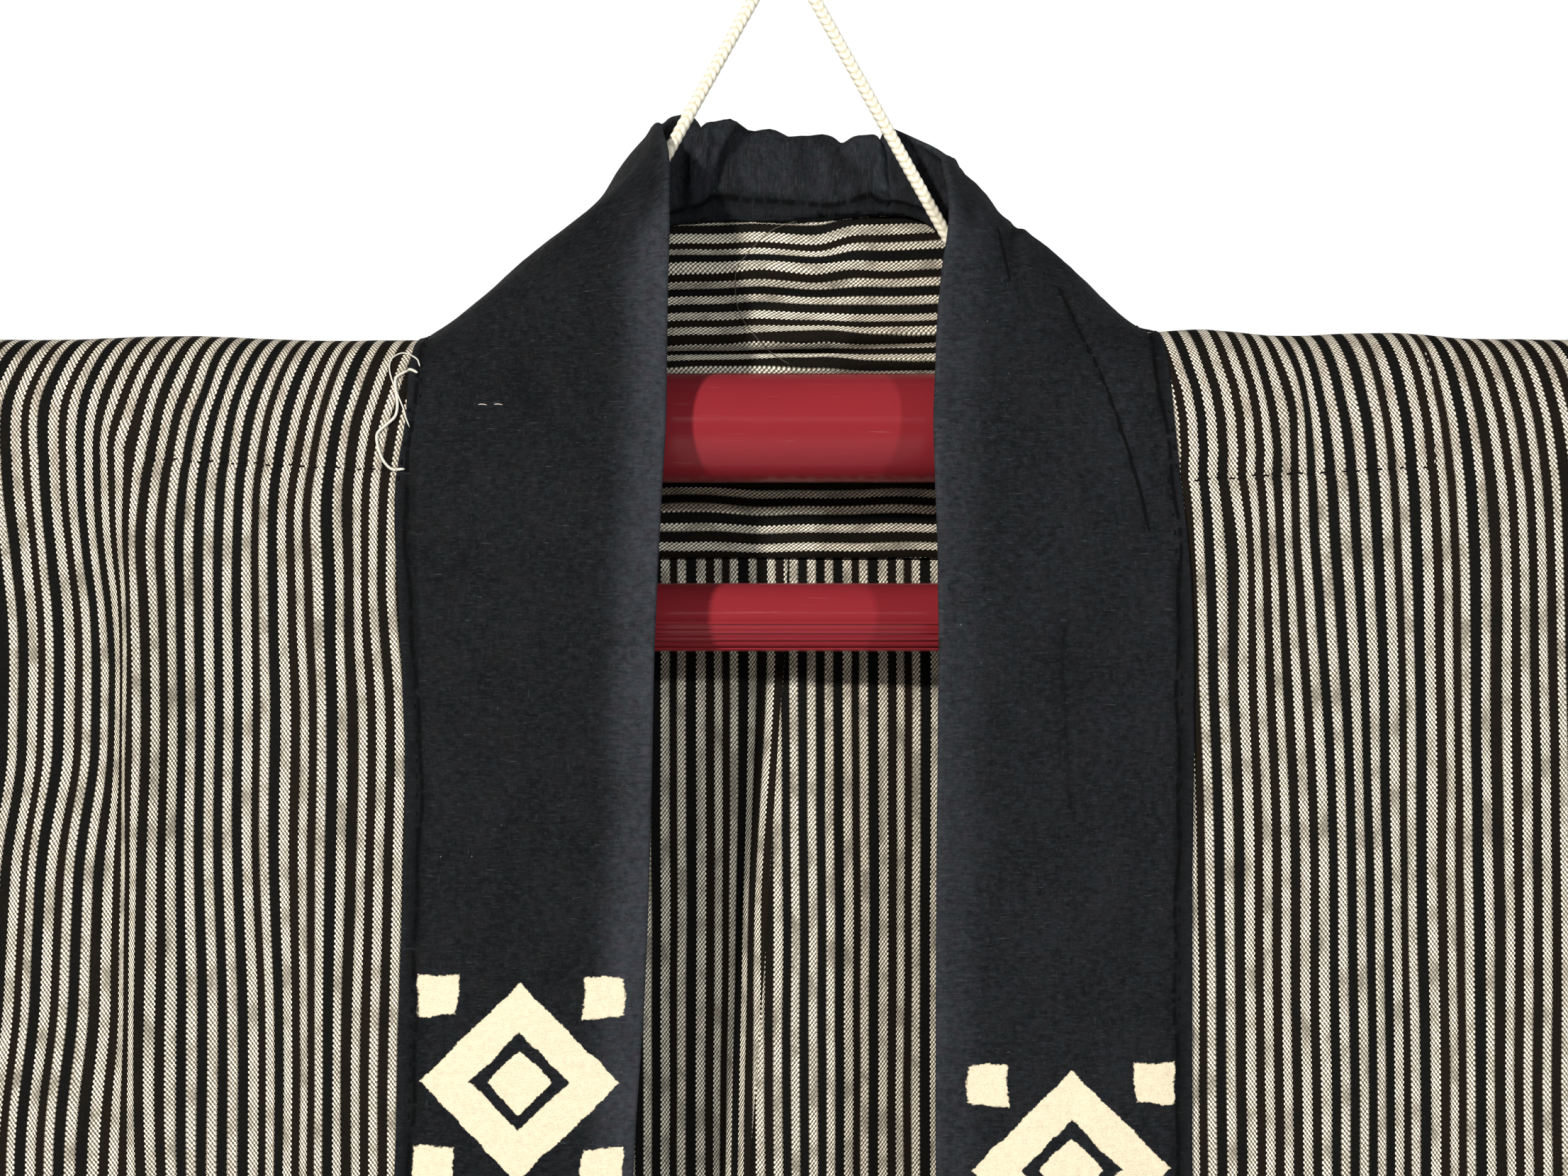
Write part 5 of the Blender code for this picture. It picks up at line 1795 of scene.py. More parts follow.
    def wear(self, reach: np.ndarray, run: np.ndarray, widths: np.ndarray, points: np.ndarray) -> np.ndarray:
        """How faded the band is at each point, from 0 to 1, with painted shade in its creases and along its
        stitching and painted light on the creases' lips.

        Args:
            reach: Distances from the seam, across the band.
            run: Distances along the band.
            widths: The band's width at each section.
            points: Places with x, y, z last.

        Returns:
            The fading, with the painted shade and light.
        """
        x, y, z = points[..., 0], points[..., 1], points[..., 2]
        from_free = widths[:, None] - reach
        left = 1.0 - smooth(x / 0.02)
        faded = mix(0.24, 0.50, left) * smooth((-0.050 - z) / 0.02)
        fold = faded * np.exp(-((np.maximum(from_free - 0.0050, 0.0) / 0.0045) ** 2))
        edge = 0.30 * np.exp(-((from_free / 0.0010) ** 2))
        sewn = 0.20 * np.exp(-((reach / 0.0024) ** 2)) * (1.0 - smooth((z + 0.10) / 0.02))
        behind = smooth((y + 0.004) / 0.012) * smooth((z + 0.085) / 0.03)
        right = 0.045 * smooth(x / 0.02)
        total = 0.080 + fold + edge + sewn + right + 0.19 * behind
        # Painted shade along the stitched groove and in the creases' valleys, painted light on the creases'
        # lips.
        line = self.groove(reach, run, points[:, 0, 2], 0.0008)
        for crease in COLLAR_CREASES:
            total = total + 110.0 * crease.depth_at(points)
        return np.clip(total - 0.30 * line, -0.1, 1.0)

    def build(self, finishes: Finishes) -> bpy.types.Object:
        """Make the band as closed rings: outer cloth, rounded fold, inner cloth, stitched edge.

        Args:
            finishes: The coat's materials.

        Returns:
            The piece.
        """
        sections = self.sections()
        widths = (
            np.linalg.norm(sections[:, 1] - sections[:, 0], axis=-1)
            + np.linalg.norm(sections[:, 2] - sections[:, 1], axis=-1)
        )
        shares, full = self.shares(widths, sections[:, 0, 2])
        middle = self.across(sections, shares)
        reach = shares * widths[:, None]
        steps = np.linalg.norm(np.diff(sections.mean(axis=1), axis=0), axis=-1)
        run = np.concatenate([[0.0], np.cumsum(steps)])
        normals = grid_normals(middle)
        relief = self.relief(middle, reach, run, widths)
        middle = middle + normals * self.rise
        thick = self.half_thickness * full[None, :, None]
        outer = middle + normals * (thick + relief[..., None])
        behind = smooth((middle[..., 1] - 0.004) / 0.010) * (1.0 - smooth((reach + 0.001) / 0.011))
        inner = middle - normals * (thick - relief[..., None] + self.neck_step * behind[..., None])
        rings = np.concatenate([outer, inner[:, -2:0:-1]], axis=1)
        self.stitches = [self.stitch_line(outer, reach), self.stitch_line(outer + normals, reach)]
        places = np.stack([reach, np.broadcast_to(run[:, None], reach.shape)], -1)
        maps = {
            WEAR_AND_SHADE_MAP: self.wear(reach, run, widths, middle),
            MOTIF_MAP: self.motif(sections, reach, run),
            STITCH_MAP: self.from_stitches(reach, run, sections[:, 0, 2]),
        }
        places = np.concatenate([places, places[:, -2:0:-1]], axis=1)
        maps = {name: np.concatenate([grid, grid[:, -2:0:-1]], axis=1) for name, grid in maps.items()}
        piece = sheet_object("collar_cloth", rings, places, False, closed=True, maps=maps)
        cap_ends(piece)
        dress(piece, finishes.navy)
        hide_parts("collar")
        return piece

    def motif(self, sections: np.ndarray, reach: np.ndarray, run: np.ndarray) -> np.ndarray:
        """How far down each front a point lies from the top of its motif, in metres.

        Args:
            sections: Seam, crest and free edge of every section.
            reach: Distances from the seam, across the band.
            run: Distances along the band.

        Returns:
            The distances, below 0 above the motif.
        """
        middle = len(run) // 2
        z = sections[:, 0, 2]
        left_top = np.interp(self.motif_left_z, z[:middle], run[:middle])
        right_top = np.interp(-self.motif_right_z, -z[middle:], run[middle:])
        down = np.concatenate([left_top - run[:middle], run[middle:] - right_top])
        return np.broadcast_to(down[:, None], reach.shape).copy()

    def stitch_line(self, grid: np.ndarray, reach: np.ndarray) -> np.ndarray:
        """The values of a grid along the stitching, hem to hem.

        Args:
            grid: Values on the band's grid.
            reach: Distances from the seam, across the band.

        Returns:
            The line's values.
        """
        line = self.inset(grid[:, 0, 2])
        nearest = np.abs(reach - line[:, None]).argmin(axis=1)
        return grid[np.arange(len(grid)), nearest]


@dataclass(frozen=True)
class CollarCrease:
    """A sharp crease pressed into the band, through named places."""

    places: tuple[tuple[float, float], ...]
    width: float
    depth: float
    behind: bool = False
    # line: radius of a thin dark tube laid in the crease as its painted shadow; 0 for none.
    line: float = 0.0

    def depth_at(self, points: np.ndarray) -> np.ndarray:
        """Depth of the crease at points of the band's front.

        Args:
            points: Places with x, y, z last.

        Returns:
            How far each point is moved along its normal.
        """
        x, y, z = points[..., 0], points[..., 1], points[..., 2]
        rows = sorted(self.places, key=lambda place: place[1])
        heights = [place[1] for place in rows]
        line = np.interp(z, heights, [place[0] for place in rows])
        inside = smooth((z - heights[0]) / 0.006) * smooth((heights[-1] - z) / 0.006)
        offset = x - line
        valley = np.exp(-((offset / self.width) ** 2))
        lip = 0.35 * np.exp(-(((offset - 2.2 * self.width) / (1.6 * self.width)) ** 2))
        return -self.depth * inside * (valley - lip) * ((y > 0.010) == self.behind)


COLLAR_CREASES = (
    CollarCrease(((-0.0235, -0.0340), (-0.0228, -0.0430), (-0.0240, -0.0540)), 0.0019, 0.0026, True),
    CollarCrease(((0.0405, -0.0545), (0.0440, -0.0585), (0.0450, -0.0640)), 0.0012, 0.0014),
    CollarCrease(((0.0560, -0.0580), (0.0535, -0.0640), (0.0545, -0.0740)), 0.0012, 0.0013),
    CollarCrease(((-0.0300, -0.0480), (-0.0340, -0.0620), (-0.0335, -0.0760)), 0.0016, 0.0009),
    CollarCrease(((-0.0620, -0.0900), (-0.0560, -0.1120)), 0.0026, 0.0005),
    CollarCrease(
        ((0.0650, -0.0755), (0.0684, -0.0838), (0.0742, -0.0988), (0.0812, -0.1196), (0.0847, -0.1341)),
        0.0006, 0.0011, line=0.00034,
    ),
    CollarCrease(((0.0505, -0.0612), (0.0530, -0.0750)), 0.0009, 0.0008, line=0.00022),
    CollarCrease(
        ((0.0658, -0.1500), (0.0640, -0.1650), (0.0655, -0.1830), (0.0667, -0.2040)), 0.0007, 0.0006,
    ),
    CollarCrease(((-0.0800, -0.0980), (-0.0810, -0.1300)), 0.0010, 0.0004),
    CollarCrease(((-0.0460, -0.0560), (-0.0415, -0.0640)), 0.0012, 0.0006),
    CollarCrease(((-0.0150, -0.0350), (-0.0130, -0.0520)), 0.0018, 0.0015, True),
    CollarCrease(((0.0035, -0.0330), (0.0050, -0.0500)), 0.0020, 0.0016, True),
    CollarCrease(((0.0130, -0.0350), (0.0135, -0.0520)), 0.0017, 0.0016, True),
    CollarCrease(((0.0275, -0.0360), (0.0300, -0.0500)), 0.0017, 0.0018, True),
)


def cap_ends(piece: bpy.types.Object) -> None:
    """Close the open ends of a ringed piece with faces.

    Args:
        piece: The piece's object.
    """
    build = bmesh.new()
    build.from_mesh(piece.data)
    edges = [edge for edge in build.edges if edge.is_boundary]
    bmesh.ops.edgenet_fill(build, edges=edges)
    bmesh.ops.triangulate(build, faces=[face for face in build.faces if len(face.verts) > 4])
    bmesh.ops.recalc_face_normals(build, faces=build.faces)
    build.to_mesh(piece.data)
    build.free()


@dataclass
class Hanger:
    """The kimono hanger: tube, lower bar, arms and brackets."""

    axis_z: float = -0.1084
    tube_radius: float = 0.0132
    tube_half: float = 0.200
    lower_z: float = -0.1542
    lower_radius: float = 0.0083
    lower_half: float = 0.185
    rib_height: float = 0.0005
    rib_angles: tuple[float, ...] = (8.0, 21.5, 35.0, 48.5, 62.0)
    rib_half_angle: float = 2.6
    ribbed_sides: int = 144
    sharp_angle: float = 28.0

    def bar(self, name: str, radius: float, half: float, z: float, vertices: int) -> bpy.types.Object:
        """A round bar along X with eased ends.

        Args:
            name: Its name.
            radius: Its radius.
            half: Half its length.
            z: Height of its axis.
            vertices: Sides of its round.

        Returns:
            The bar.
        """
        bpy.ops.object.select_all(action="DESELECT")
        bpy.ops.mesh.primitive_cylinder_add(
            vertices=vertices, radius=radius, depth=2 * half,
            location=(0.0, 0.0, z), rotation=(0.0, math.pi / 2, 0.0),
        )
        piece = bpy.context.active_object
        piece.name = name
        bpy.ops.object.transform_apply(location=True, rotation=True, scale=True)
        return piece

    def ease(self, piece: bpy.types.Object, half: float) -> None:
        """Bevel the rims at both ends of a bar and shade it smooth.

        Args:
            piece: The piece's object.
            half: Half its length.
        """
        bpy.context.view_layer.objects.active = piece
        bpy.ops.object.mode_set(mode="EDIT")
        bpy.ops.mesh.select_mode(type="EDGE")
        bpy.ops.mesh.select_all(action="DESELECT")
        bpy.ops.object.mode_set(mode="OBJECT")
        for edge in piece.data.edges:
            ends = [piece.data.vertices[i].co.x for i in edge.vertices]
            edge.select = all(abs(abs(x) - half) < 1e-5 for x in ends)
        bpy.ops.object.mode_set(mode="EDIT")
        bpy.ops.mesh.bevel(offset=0.0010, segments=4, affect="EDGES")
        bpy.ops.object.mode_set(mode="OBJECT")
        bpy.ops.object.shade_smooth_by_angle(angle=math.radians(self.sharp_angle))

    def build_tube(self, finishes: Finishes) -> bpy.types.Object:
        """The centre tube.

        Args:
            finishes: The coat's materials.

        Returns:
            The piece.
        """
        piece = self.bar("centre_tube", self.tube_radius, self.tube_half, self.axis_z, 96)
        self.ease(piece, self.tube_half)
        dress(piece, finishes.red)
        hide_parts("hanger_tube")
        return piece

    def build_lower_bar(self, finishes: Finishes) -> bpy.types.Object:
        """The lower bar, with ribs raised from its lower flanks.

        Args:
            finishes: The coat's materials.

        Returns:
            The piece.
        """
        piece = self.bar("lower_bar", self.lower_radius, self.lower_half, self.lower_z, self.ribbed_sides)
        bpy.ops.object.mode_set(mode="EDIT")
        bpy.ops.mesh.select_mode(type="FACE")
        for angle in self.rib_angles:
            bpy.ops.mesh.select_all(action="DESELECT")
            bpy.ops.object.mode_set(mode="OBJECT")
            for face in piece.data.polygons:
                centre = face.center
                lean = math.degrees(math.atan2(self.lower_z - centre.z, abs(centre.y)))
                face.select = abs(face.normal.x) < 0.5 and abs(lean - angle) < self.rib_half_angle
            bpy.ops.object.mode_set(mode="EDIT")
            bpy.ops.mesh.extrude_region_shrink_fatten(
                TRANSFORM_OT_shrink_fatten={"value": self.rib_height, "use_even_offset": True}
            )
        bpy.ops.object.mode_set(mode="OBJECT")
        bpy.ops.object.shade_smooth_by_angle(angle=math.radians(self.sharp_angle))
        dress(piece, finishes.red)
        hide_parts("hanger_lower_bar")
        return piece

    def dress_hidden(self, finishes: Finishes) -> None:
        """Give the arms and brackets, which the cloth hides, the same plastic.

        Args:
            finishes: The coat's materials.
        """
        for name in ("hanger_arm_left", "hanger_arm_right", "hanger_bracket_left", "hanger_bracket_right"):
            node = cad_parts[name]
            node.data.materials.clear()
            node.data.materials.append(finishes.red)


@dataclass
class HangingCord:
    """The plaited cord: up from one hole in the tube, over the crown and down to the other."""

    radius: float = 0.00165
    crown: float = 0.0066
    hole_x: float = 0.058
    hole_z: float = -0.0952
    end_depth: float = 0.0040
    plait: float = 0.0019
    slant: float = 1.5
    ring_step: float = 0.00030
    sides: int = 20
    least: float = 0.82

    def route(self) -> np.ndarray:
        """The cord's centre line, left end first.

        Returns:
            The line's points.
        """
        centre_z = self.radius - self.crown
        away = np.array([self.hole_x, self.hole_z - centre_z])
        reach = float(np.linalg.norm(away))
        touch = math.atan2(away[1], away[0]) + math.acos(self.crown / reach)
        top = np.array([self.crown * math.cos(touch), centre_z + self.crown * math.sin(touch)])
        hole = np.array([self.hole_x, self.hole_z])
        aim = (top - hole) / np.linalg.norm(top - hole)
        end = hole - aim * self.end_depth
        line = [mix(end, top, i / 150) for i in range(150)]
        turn = [mix(touch, math.pi - touch, i / 40) for i in range(41)]
        arc = [np.array([self.crown * math.cos(a), centre_z + self.crown * math.sin(a)]) for a in turn]
        right = [np.array([p[0], 0.0, p[1]]) for p in line]
        bend = [np.array([p[0], 0.0, p[1]]) for p in arc]
        left = [np.array([-p[0], 0.0, p[2]]) for p in right]
        return np.array(left + bend[::-1] + right[::-1])

    def build(self, finishes: Finishes) -> bpy.types.Object:
        """Make the cord as a tube whose surface carries the plait.

        Args:
            finishes: The coat's materials.

        Returns:
            The piece.
        """
        line = self.route()
        steps = np.linalg.norm(np.diff(line, axis=0), axis=1)
        run = np.concatenate([[0.0], np.cumsum(steps)])
        even = np.linspace(0.0, run[-1], int(run[-1] / self.ring_step))
        line = np.stack([np.interp(even, run, line[:, i]) for i in range(3)], -1)
        tangent = np.gradient(line, axis=0)
        tangent /= np.linalg.norm(tangent, axis=1, keepdims=True)
        front = np.array([0.0, -1.0, 0.0])
        side = np.cross(tangent, front)
        angle = np.arange(self.sides) / self.sides * 2 * math.pi
        turned = np.abs((angle + math.pi) % (2 * math.pi) - math.pi)
        turned = np.minimum(turned, math.pi - turned) * self.slant
        strand = np.abs(np.cos(turned[None, :] + even[:, None] / self.plait * math.pi))
        spine = np.minimum(np.abs(np.sin(angle)), np.abs(np.cos(angle))) * 1.41
        bulge = strand ** 0.8 * (0.45 + 0.55 * spine[None, :] ** 0.6)
        radius = self.radius * (self.least + 0.18 * bulge)
        ring = (
            line[:, None, :]
            + front[None, None, :] * (radius * np.cos(angle)[None, :])[..., None]
            + side[:, None, :] * (radius * np.sin(angle)[None, :])[..., None]
        )
        across = np.broadcast_to(angle * self.radius, radius.shape)
        cloth = np.stack([across, np.broadcast_to(even[:, None], radius.shape)], -1)
        # Painted shade in the grooves between the strands, painted light on their crowns.
        wear_and_painted_light = smooth((bulge - 0.15) / 0.55)
        piece = sheet_object("plaited_cord", ring, cloth, True, closed=True, maps={WEAR_AND_SHADE_MAP: wear_and_painted_light})
        cap_ends(piece)
        dress(piece, finishes.cord)
        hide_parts("hanging_cord")
        return piece


def curve(places: tuple, steps: int = 8) -> np.ndarray:
    """A smooth line through places, with steps points from each to the next.

    Args:
        places: Places that the line goes through.
        steps: Points from one place to the next.

    Returns:
        The line's points.
    """
    knots = np.array(places, float)
    controls = np.concatenate([2 * knots[:1] - knots[1:2], knots, 2 * knots[-1:] - knots[-2:-1]])
    line = []
    for i in range(len(knots) - 1):
        a, b, c, d = controls[i:i + 4]
        for t in np.arange(steps) / steps:
            line.append(between(a, b, c, d, t))
    return np.array(line + [knots[-1]])


def thread_object(
    name: str, paths: list[np.ndarray], radii: list[float], sides: int = 6
) -> bpy.types.Object:
    """Make one mesh of round threads that taper at their ends.

    Args:
        name: The piece's name.
        paths: The threads' centre lines.
        radii: One radius for each thread.
        sides: Corners of each thread's section.

    Returns:
        The new object.
    """
    vertices, faces = [], []
    angle = np.arange(sides) / sides * 2 * math.pi
    for path, radius in zip(paths, radii):
        tangent = np.gradient(path, axis=0)
        tangent /= np.linalg.norm(tangent, axis=1, keepdims=True)
        aside = np.cross(tangent, np.array([0.02, 1.0, 0.05]))
        aside /= np.linalg.norm(aside, axis=1, keepdims=True)
        across = np.cross(aside, tangent)
        place = np.linspace(-1.0, 1.0, len(path))
        taper = np.clip(1.0 - np.abs(place) ** max(4, len(path) // 2), 0.06, 1.0)
        size = radius * np.sqrt(taper)[:, None, None]
        ring = aside[:, None] * np.cos(angle)[None, :, None] + across[:, None] * np.sin(angle)[None, :, None]
        base = len(vertices)
        vertices += (path[:, None] + ring * size).reshape(-1, 3).tolist()
        for i in range(len(path) - 1):
            for j in range(sides):
                k = (j + 1) % sides
                low, high = base + i * sides, base + (i + 1) * sides
                faces.append((low + j, high + j, high + k, low + k))
        faces.append(tuple(base + j for j in range(sides)))
        faces.append(tuple(base + (len(path) - 1) * sides + j for j in reversed(range(sides))))
    mesh = bpy.data.meshes.new(name)
    mesh.from_pydata(vertices, [], faces)
    return smooth_piece(name, mesh)


class Surface:
    """The outer faces of some pieces, for laying threads on."""

    def __init__(self, *pieces: bpy.types.Object) -> None:
        """Gather the faces.

        Args:
            pieces: The pieces, each at the origin.
        """
        corners, faces = [], []
        for piece in pieces:
            base = len(corners)
            corners += [vertex.co for vertex in piece.data.vertices]
            faces += [[base + i for i in face.vertices] for face in piece.data.polygons]
        self.tree = BVHTree.FromPolygons(corners, faces)

    def lay(self, line: np.ndarray, lift: float, face: Face = Face.FRONT) -> np.ndarray:
        """Put a line of x, z places on the faces, seen from the front or from the back.

        Args:
            line: The places.
            lift: How far the line stands off the faces.
            face: The side it is seen from.

        Returns:
            The points that meet a face.
        """
        aim = Vector((0.0, -float(face.value), 0.0))
        points = []
        for x, z in line:
            hit = self.tree.ray_cast(Vector((x, face.value * 0.3, z)), aim)[0]
            if hit is not None:
                points.append((hit.x, hit.y + face.value * lift, hit.z))
        return np.array(points)


@dataclass
class Sewing:
    """The threads that show: stitch lines and loose ends, and thin dark tubes laid in the sharpest creases
    as their painted shadow.
    """

    form: CoatForm
    surfaces: dict[str, Surface]
    dark: list[np.ndarray] = field(default_factory=list)
    dark_radii: list[float] = field(default_factory=list)
    white: list[np.ndarray] = field(default_factory=list)
    white_radii: list[float] = field(default_factory=list)
    grey: list[np.ndarray] = field(default_factory=list)

    def dashes(
        self, line: np.ndarray, stitch: float, gap: float, radius: float, sink: np.ndarray,
        white: bool = False,
    ) -> None:
        """Add a running stitch along a line.

        Args:
            line: Points on the cloth.
            stitch: Length of one stitch.
            gap: Length between stitches.
            radius: The thread's radius.
            sink: Directions into the cloth, one for all or one for each point.
            white: Use the white thread.
        """
        steps = np.linalg.norm(np.diff(line, axis=0), axis=1)
        run = np.concatenate([[0.0], np.cumsum(steps)])
        sinks = np.broadcast_to(sink, line.shape)
        paths, radii = (self.white, self.white_radii) if white else (self.dark, self.dark_radii)
        start, count = gap * 0.4, 0
        while start + stitch < run[-1]:
            uneven = 1.0 + 0.22 * math.sin(count * 2.4) + 0.10 * math.sin(count * 5.1)
            at = np.linspace(start, start + stitch * uneven, 5)
            points = np.stack([np.interp(at, run, line[:, i]) for i in range(3)], -1)
            into = np.stack([np.interp(at, run, sinks[:, i]) for i in range(3)], -1)
            dip = np.array([1.0, 0.15, 0.0, 0.15, 1.0])[:, None] * radius * 2.2
            paths.append(points + into * dip)
            radii.append(radius)
            start += stitch + gap * (1.0 + 0.15 * math.sin(count * 3.7))
            count += 1

    def backing_lines(self) -> None:
        """The stitching that holds the shoulder backing, across both fronts and the back."""
        into = np.array([0.0, 1.0, 0.0])
        for name, (start, end) in (("left", STITCHED[:2]), ("right", STITCHED[2:])):
            cloth = self.surfaces[f"body_{name}"]
            across = np.linspace(0.0, 1.0, 60)[:, None]
            line = mix(np.array(start), np.array(end), across)
            line[:, 1] += 0.00025 * np.sin(line[:, 0] * 700.0)
            self.dashes(cloth.lay(line, 0.00010), 0.0017, 0.0010, 0.00023, into)
            outer = start if name == "left" else end
            up = np.linspace(outer[1], self.form.shoulder_z - 0.0035, 30)
            side = np.stack([outer[0] - 0.010 * (up - outer[1]), up], -1)
            self.dashes(cloth.lay(side, 0.00005), 0.0009, 0.0016, 0.00014, into, white=name == "right")
            behind = np.stack([np.linspace(-0.148, 0.148, 120), np.full(120, -0.1380)], -1)
            half = behind[behind[:, 0] < 0] if name == "left" else behind[behind[:, 0] > 0]
            self.dashes(cloth.lay(half, 0.00005, Face.BACK), 0.0016, 0.0014, 0.00016, -into)

    def hems(self) -> None:
        """The running stitch of the body's hem and of both cuffs."""
        form = self.form
        for side in Side:
            body = self.surfaces[f"body_{side.word}"]
            sleeve = self.surfaces[f"sleeve_{side.word}"]
            for face in Face:
                into = np.array([0.0, -face.value, 0.0])
                inner = 0.118 if face is Face.FRONT else 0.004
                x = side.value * np.linspace(inner, form.half_width - 0.004, 120)
                line = np.stack([x, np.full_like(x, form.hem_z + 0.018)], -1)
                self.dashes(body.lay(line, 0.00005, face), 0.0020, 0.0034, 0.00018, into)
                z = np.linspace(form.shoulder_z - 0.012, form.shoulder_z - form.cuff + 0.004, 100)
                cuff = side.value * (form.half_width + form.sleeve_width - 0.015)
                line = np.stack([np.full_like(z, cuff), z], -1)
                self.dashes(sleeve.lay(line, 0.00005, face), 0.0020, 0.0034, 0.00018, into)

    def band_line(self, stitches: list[np.ndarray]) -> None:
        """The stitching of the collar, hem round the neck to hem.

        Args:
            stitches: The stitch line and the same one metre out along its normals.
        """
        line, lifted = stitches
        normal = lifted - line
        self.dashes(line + normal * 0.00010, 0.0015, 0.0027, 0.00024, -normal)

    def crease_lines(self) -> None:
        """The dark line at the bottom of the sharpest crease on the right front of the band: a thin dark
        tube that is painted shadow.
        """
        band = self.surfaces["collar"]
        for crease in COLLAR_CREASES:
            if crease.line > 0.0:
                self.dark.append(band.lay(curve(crease.places, 10), 0.00022))
                self.dark_radii.append(crease.line)

    def loose_threads(self) -> None:
        """The white thread ends by the left shoulder, two short white stitches and a hair at the neck."""
        near = Surface.lay(self.surfaces["left_front"], curve(LOOSE_FINE), 0.0007)
        thick = Surface.lay(self.surfaces["left_front"], curve(LOOSE_THICK), 0.0006)
        self.white += [near, thick]
        self.white_radii += [0.00019, 0.00034]
        for x in (-0.0709, -0.0672):
            mark = np.array([(x, -0.1046), (x + 0.0010, -0.1045), (x + 0.0021, -0.1047)])
            self.white.append(self.surfaces["collar"].lay(curve(tuple(map(tuple, mark)), 3), 0.00004))
            self.white_radii.append(0.00009)
        self.grey.append(self.surfaces["backing"].lay(curve(HAIR), 0.0024))

    def build(self, stitches: list[np.ndarray], finishes: Finishes) -> list[bpy.types.Object]:
        """Make the threads.

        Args:
            stitches: The collar's stitch line and the same line one metre out along its normals.
            finishes: The coat's materials.

        Returns:
            One piece of dark thread with the creases' painted shadow lines, one of white and a loose grey
            one.
        """
        self.backing_lines()
        self.hems()
        self.band_line(stitches)
        self.crease_lines()
        self.loose_threads()
        dark = thread_object("dark_stitches", self.dark, self.dark_radii)
        dress(dark, finishes.dark_thread)
        white = thread_object("white_threads", self.white, self.white_radii)
        dress(white, finishes.white_thread)
        grey = thread_object("loose_grey_thread", self.grey, [0.00011])
        dress(grey, finishes.grey_thread)
        return [dark, white, grey]


LOOSE_FINE = (
    (-0.0851, -0.0953), (-0.0862, -0.0933), (-0.0898, -0.0916), (-0.0921, -0.0928), (-0.0926, -0.0949),
    (-0.0918, -0.0980), (-0.0893, -0.1036), (-0.0867, -0.1099),
)
LOOSE_THICK = (
    (-0.0854, -0.0969), (-0.0874, -0.0961), (-0.0895, -0.0969), (-0.0908, -0.0982), (-0.0905, -0.1012),
    (-0.0900, -0.1044), (-0.0905, -0.1072), (-0.0928, -0.1094), (-0.0946, -0.1113), (-0.0944, -0.1143),
    (-0.0931, -0.1176), (-0.0911, -0.1195), (-0.0879, -0.1195),
)
HAIR = (
    (0.0064, -0.0542), (-0.0035, -0.0583), (-0.0101, -0.0654), (-0.0121, -0.0705), (-0.0112, -0.0783),
    (-0.0071, -0.0847), (-0.0035, -0.0882), (0.0014, -0.0916),
)


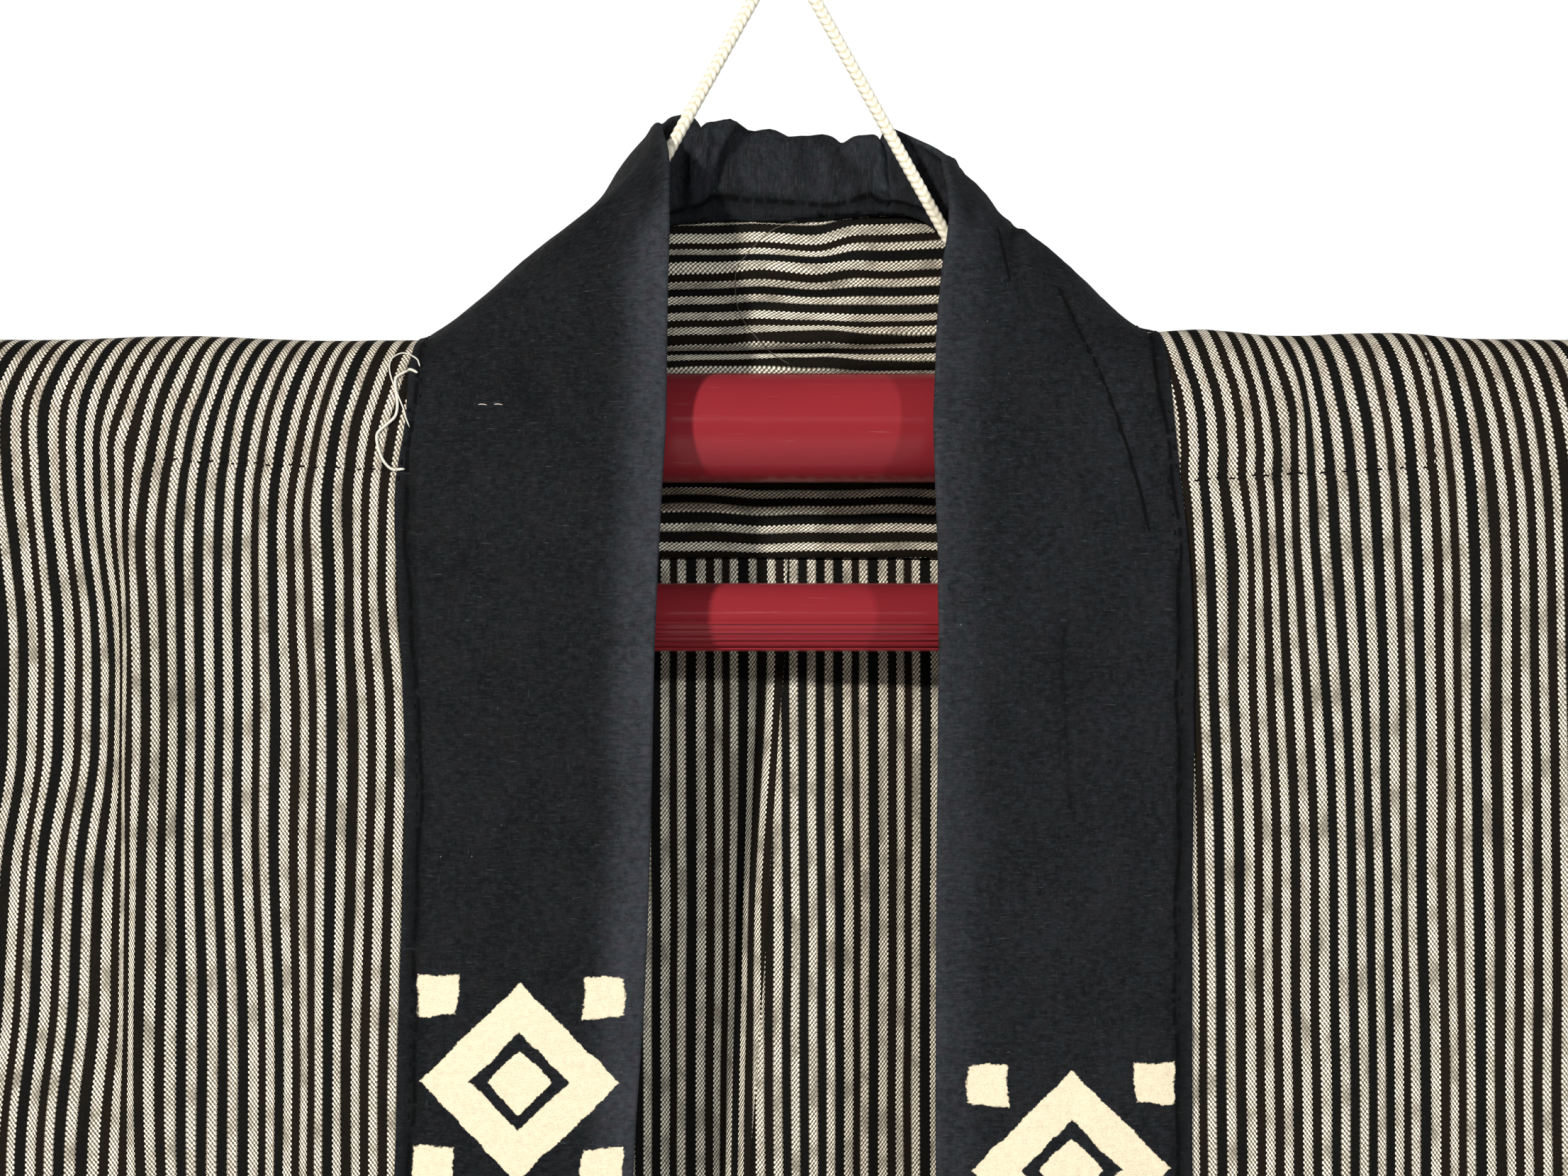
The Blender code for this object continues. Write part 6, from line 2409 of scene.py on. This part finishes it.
@dataclass
class Studio:
    """Camera, lights, plain floor and pale surroundings."""

    eye: tuple[float, float, float] = (0.0, -0.549, -0.1471)
    focal_px: float = 3200.0
    sensor: float = 36.0
    floor_z: float = -0.960
    key_power: float = 56.0
    fill_power: float = 21.5
    front_power: float = 1.4
    back_power: float = 46.0
    ambient: float = 0.032

    def camera(self) -> None:
        """The photo's viewpoint, level and square to the coat."""
        data = bpy.data.cameras.new("camera")
        data.sensor_width = self.sensor
        data.lens = self.focal_px / PHOTO_WIDTH * self.sensor
        data.clip_start = 0.01
        camera = bpy.data.objects.new("camera", data)
        camera.location = self.eye
        camera.rotation_euler = (math.pi / 2, 0.0, 0.0)
        bpy.context.scene.collection.objects.link(camera)
        bpy.context.scene.camera = camera

    def lamp(
        self,
        name: str,
        place: tuple[float, float, float],
        size: tuple[float, float],
        power: float,
        colour: tuple[float, float, float],
    ) -> None:
        """An area light that looks at the middle of the view.

        Args:
            name: Its name.
            place: Where it stands.
            size: Its two sides.
            power: Its watts.
            colour: Its colour.
        """
        data = bpy.data.lights.new(name, "AREA")
        data.shape = "RECTANGLE"
        data.energy = power
        data.size, data.size_y = size
        data.color = colour
        lamp = bpy.data.objects.new(name, data)
        lamp.location = place
        aim = Vector((0.0, 0.0, -0.15)) - Vector(place)
        lamp.rotation_euler = aim.to_track_quat("-Z", "Y").to_euler()
        bpy.context.scene.collection.objects.link(lamp)

    def surroundings(self) -> None:
        """A white view all round that lights the coat softly."""
        world = bpy.data.worlds.new("pale_room")
        bpy.context.scene.world = world
        world.use_nodes = True
        tree = world.node_tree
        tree.nodes.clear()
        seen = tree.nodes.new("ShaderNodeBackground")
        seen.inputs[0].default_value = (1.0, 1.0, 0.985, 1.0)
        seen.inputs[1].default_value = 1.02
        lit = tree.nodes.new("ShaderNodeBackground")
        lit.inputs[0].default_value = (0.96, 0.98, 1.0, 1.0)
        lit.inputs[1].default_value = self.ambient
        path = tree.nodes.new("ShaderNodeLightPath")
        both = tree.nodes.new("ShaderNodeMixShader")
        out = tree.nodes.new("ShaderNodeOutputWorld")
        tree.links.new(path.outputs["Is Camera Ray"], both.inputs[0])
        tree.links.new(lit.outputs[0], both.inputs[1])
        tree.links.new(seen.outputs[0], both.inputs[2])
        tree.links.new(both.outputs[0], out.inputs[0])

    def floor(self) -> None:
        """A plain pale floor below the coat."""
        bpy.ops.object.select_all(action="DESELECT")
        bpy.ops.mesh.primitive_plane_add(size=14.0, location=(0.0, 0.5, self.floor_z))
        floor = bpy.context.active_object
        floor.name = "floor"
        sketch = NodeSketch("pale_floor")
        sketch.shader.inputs["Base Color"].default_value = (0.86, 0.86, 0.85, 1.0)
        sketch.shader.inputs["Roughness"].default_value = 0.9
        floor.data.materials.append(sketch.material)

    def build(self) -> None:
        """Set everything up."""
        self.camera()
        self.lamp("key_light", (-0.93, -1.86, 0.62), (0.12, 0.12), self.key_power, (1.0, 0.97, 0.92))
        self.lamp("fill_light", (1.01, -1.73, 0.44), (0.12, 0.12), self.fill_power, (0.93, 0.97, 1.0))
        self.lamp("front_light", (0.0, -2.2, 0.42), (0.9, 0.05), self.front_power, (1.0, 1.0, 1.0))
        self.lamp("back_light_left", (-1.5, 2.1, 0.55), (1.6, 1.2), self.back_power, (1.0, 0.98, 0.95))
        self.lamp("back_light_right", (1.7, 1.9, 0.35), (1.6, 1.2), 0.6 * self.back_power, (0.96, 0.98, 1.0))
        self.surroundings()
        self.floor()
        settings = bpy.context.scene.view_settings
        settings.view_transform = "Standard"
        settings.look = "None"


def main() -> None:
    """Build the studio, the hanger and the coat, and report each piece."""
    logging.basicConfig(level=logging.INFO, format="%(message)s")
    Studio().build()
    finishes = Finishes(
        stripe=StripedCotton().make(),
        navy=IndigoCotton().make(),
        red=RedPlastic().make(),
        cord=PlaitedCotton().make(),
        white_thread=SewingThread("white_thread", (0.78, 0.75, 0.66)).make(),
        dark_thread=SewingThread("dark_thread", (0.0040, 0.0038, 0.0042)).make(),
        grey_thread=SewingThread("grey_thread", (0.110, 0.095, 0.075)).make(),
    )
    form = CoatForm()
    hanger = Hanger()
    pieces = [HangingCord().build(finishes), hanger.build_tube(finishes), hanger.build_lower_bar(finishes)]
    hanger.dress_hidden(finishes)
    cloth = {}
    for side in Side:
        cloth[f"body_{side.word}"] = BodyHalf(side, form).build(finishes)
        cloth[f"sleeve_{side.word}"] = Sleeve(side, form).build(finishes)
    cloth["backing"] = ShoulderBacking(form).build(finishes)
    collar = Collar(form)
    cloth["collar"] = collar.build(finishes)
    pieces += cloth.values()
    surfaces = {name: Surface(piece) for name, piece in cloth.items()}
    surfaces["left_front"] = Surface(cloth["body_left"], cloth["collar"])
    pieces += Sewing(form, surfaces).build(collar.stitches, finishes)
    for piece in pieces:
        LOG.info("%s: %d faces", piece.name, len(piece.data.polygons))


if __name__ == "__main__":
    main()
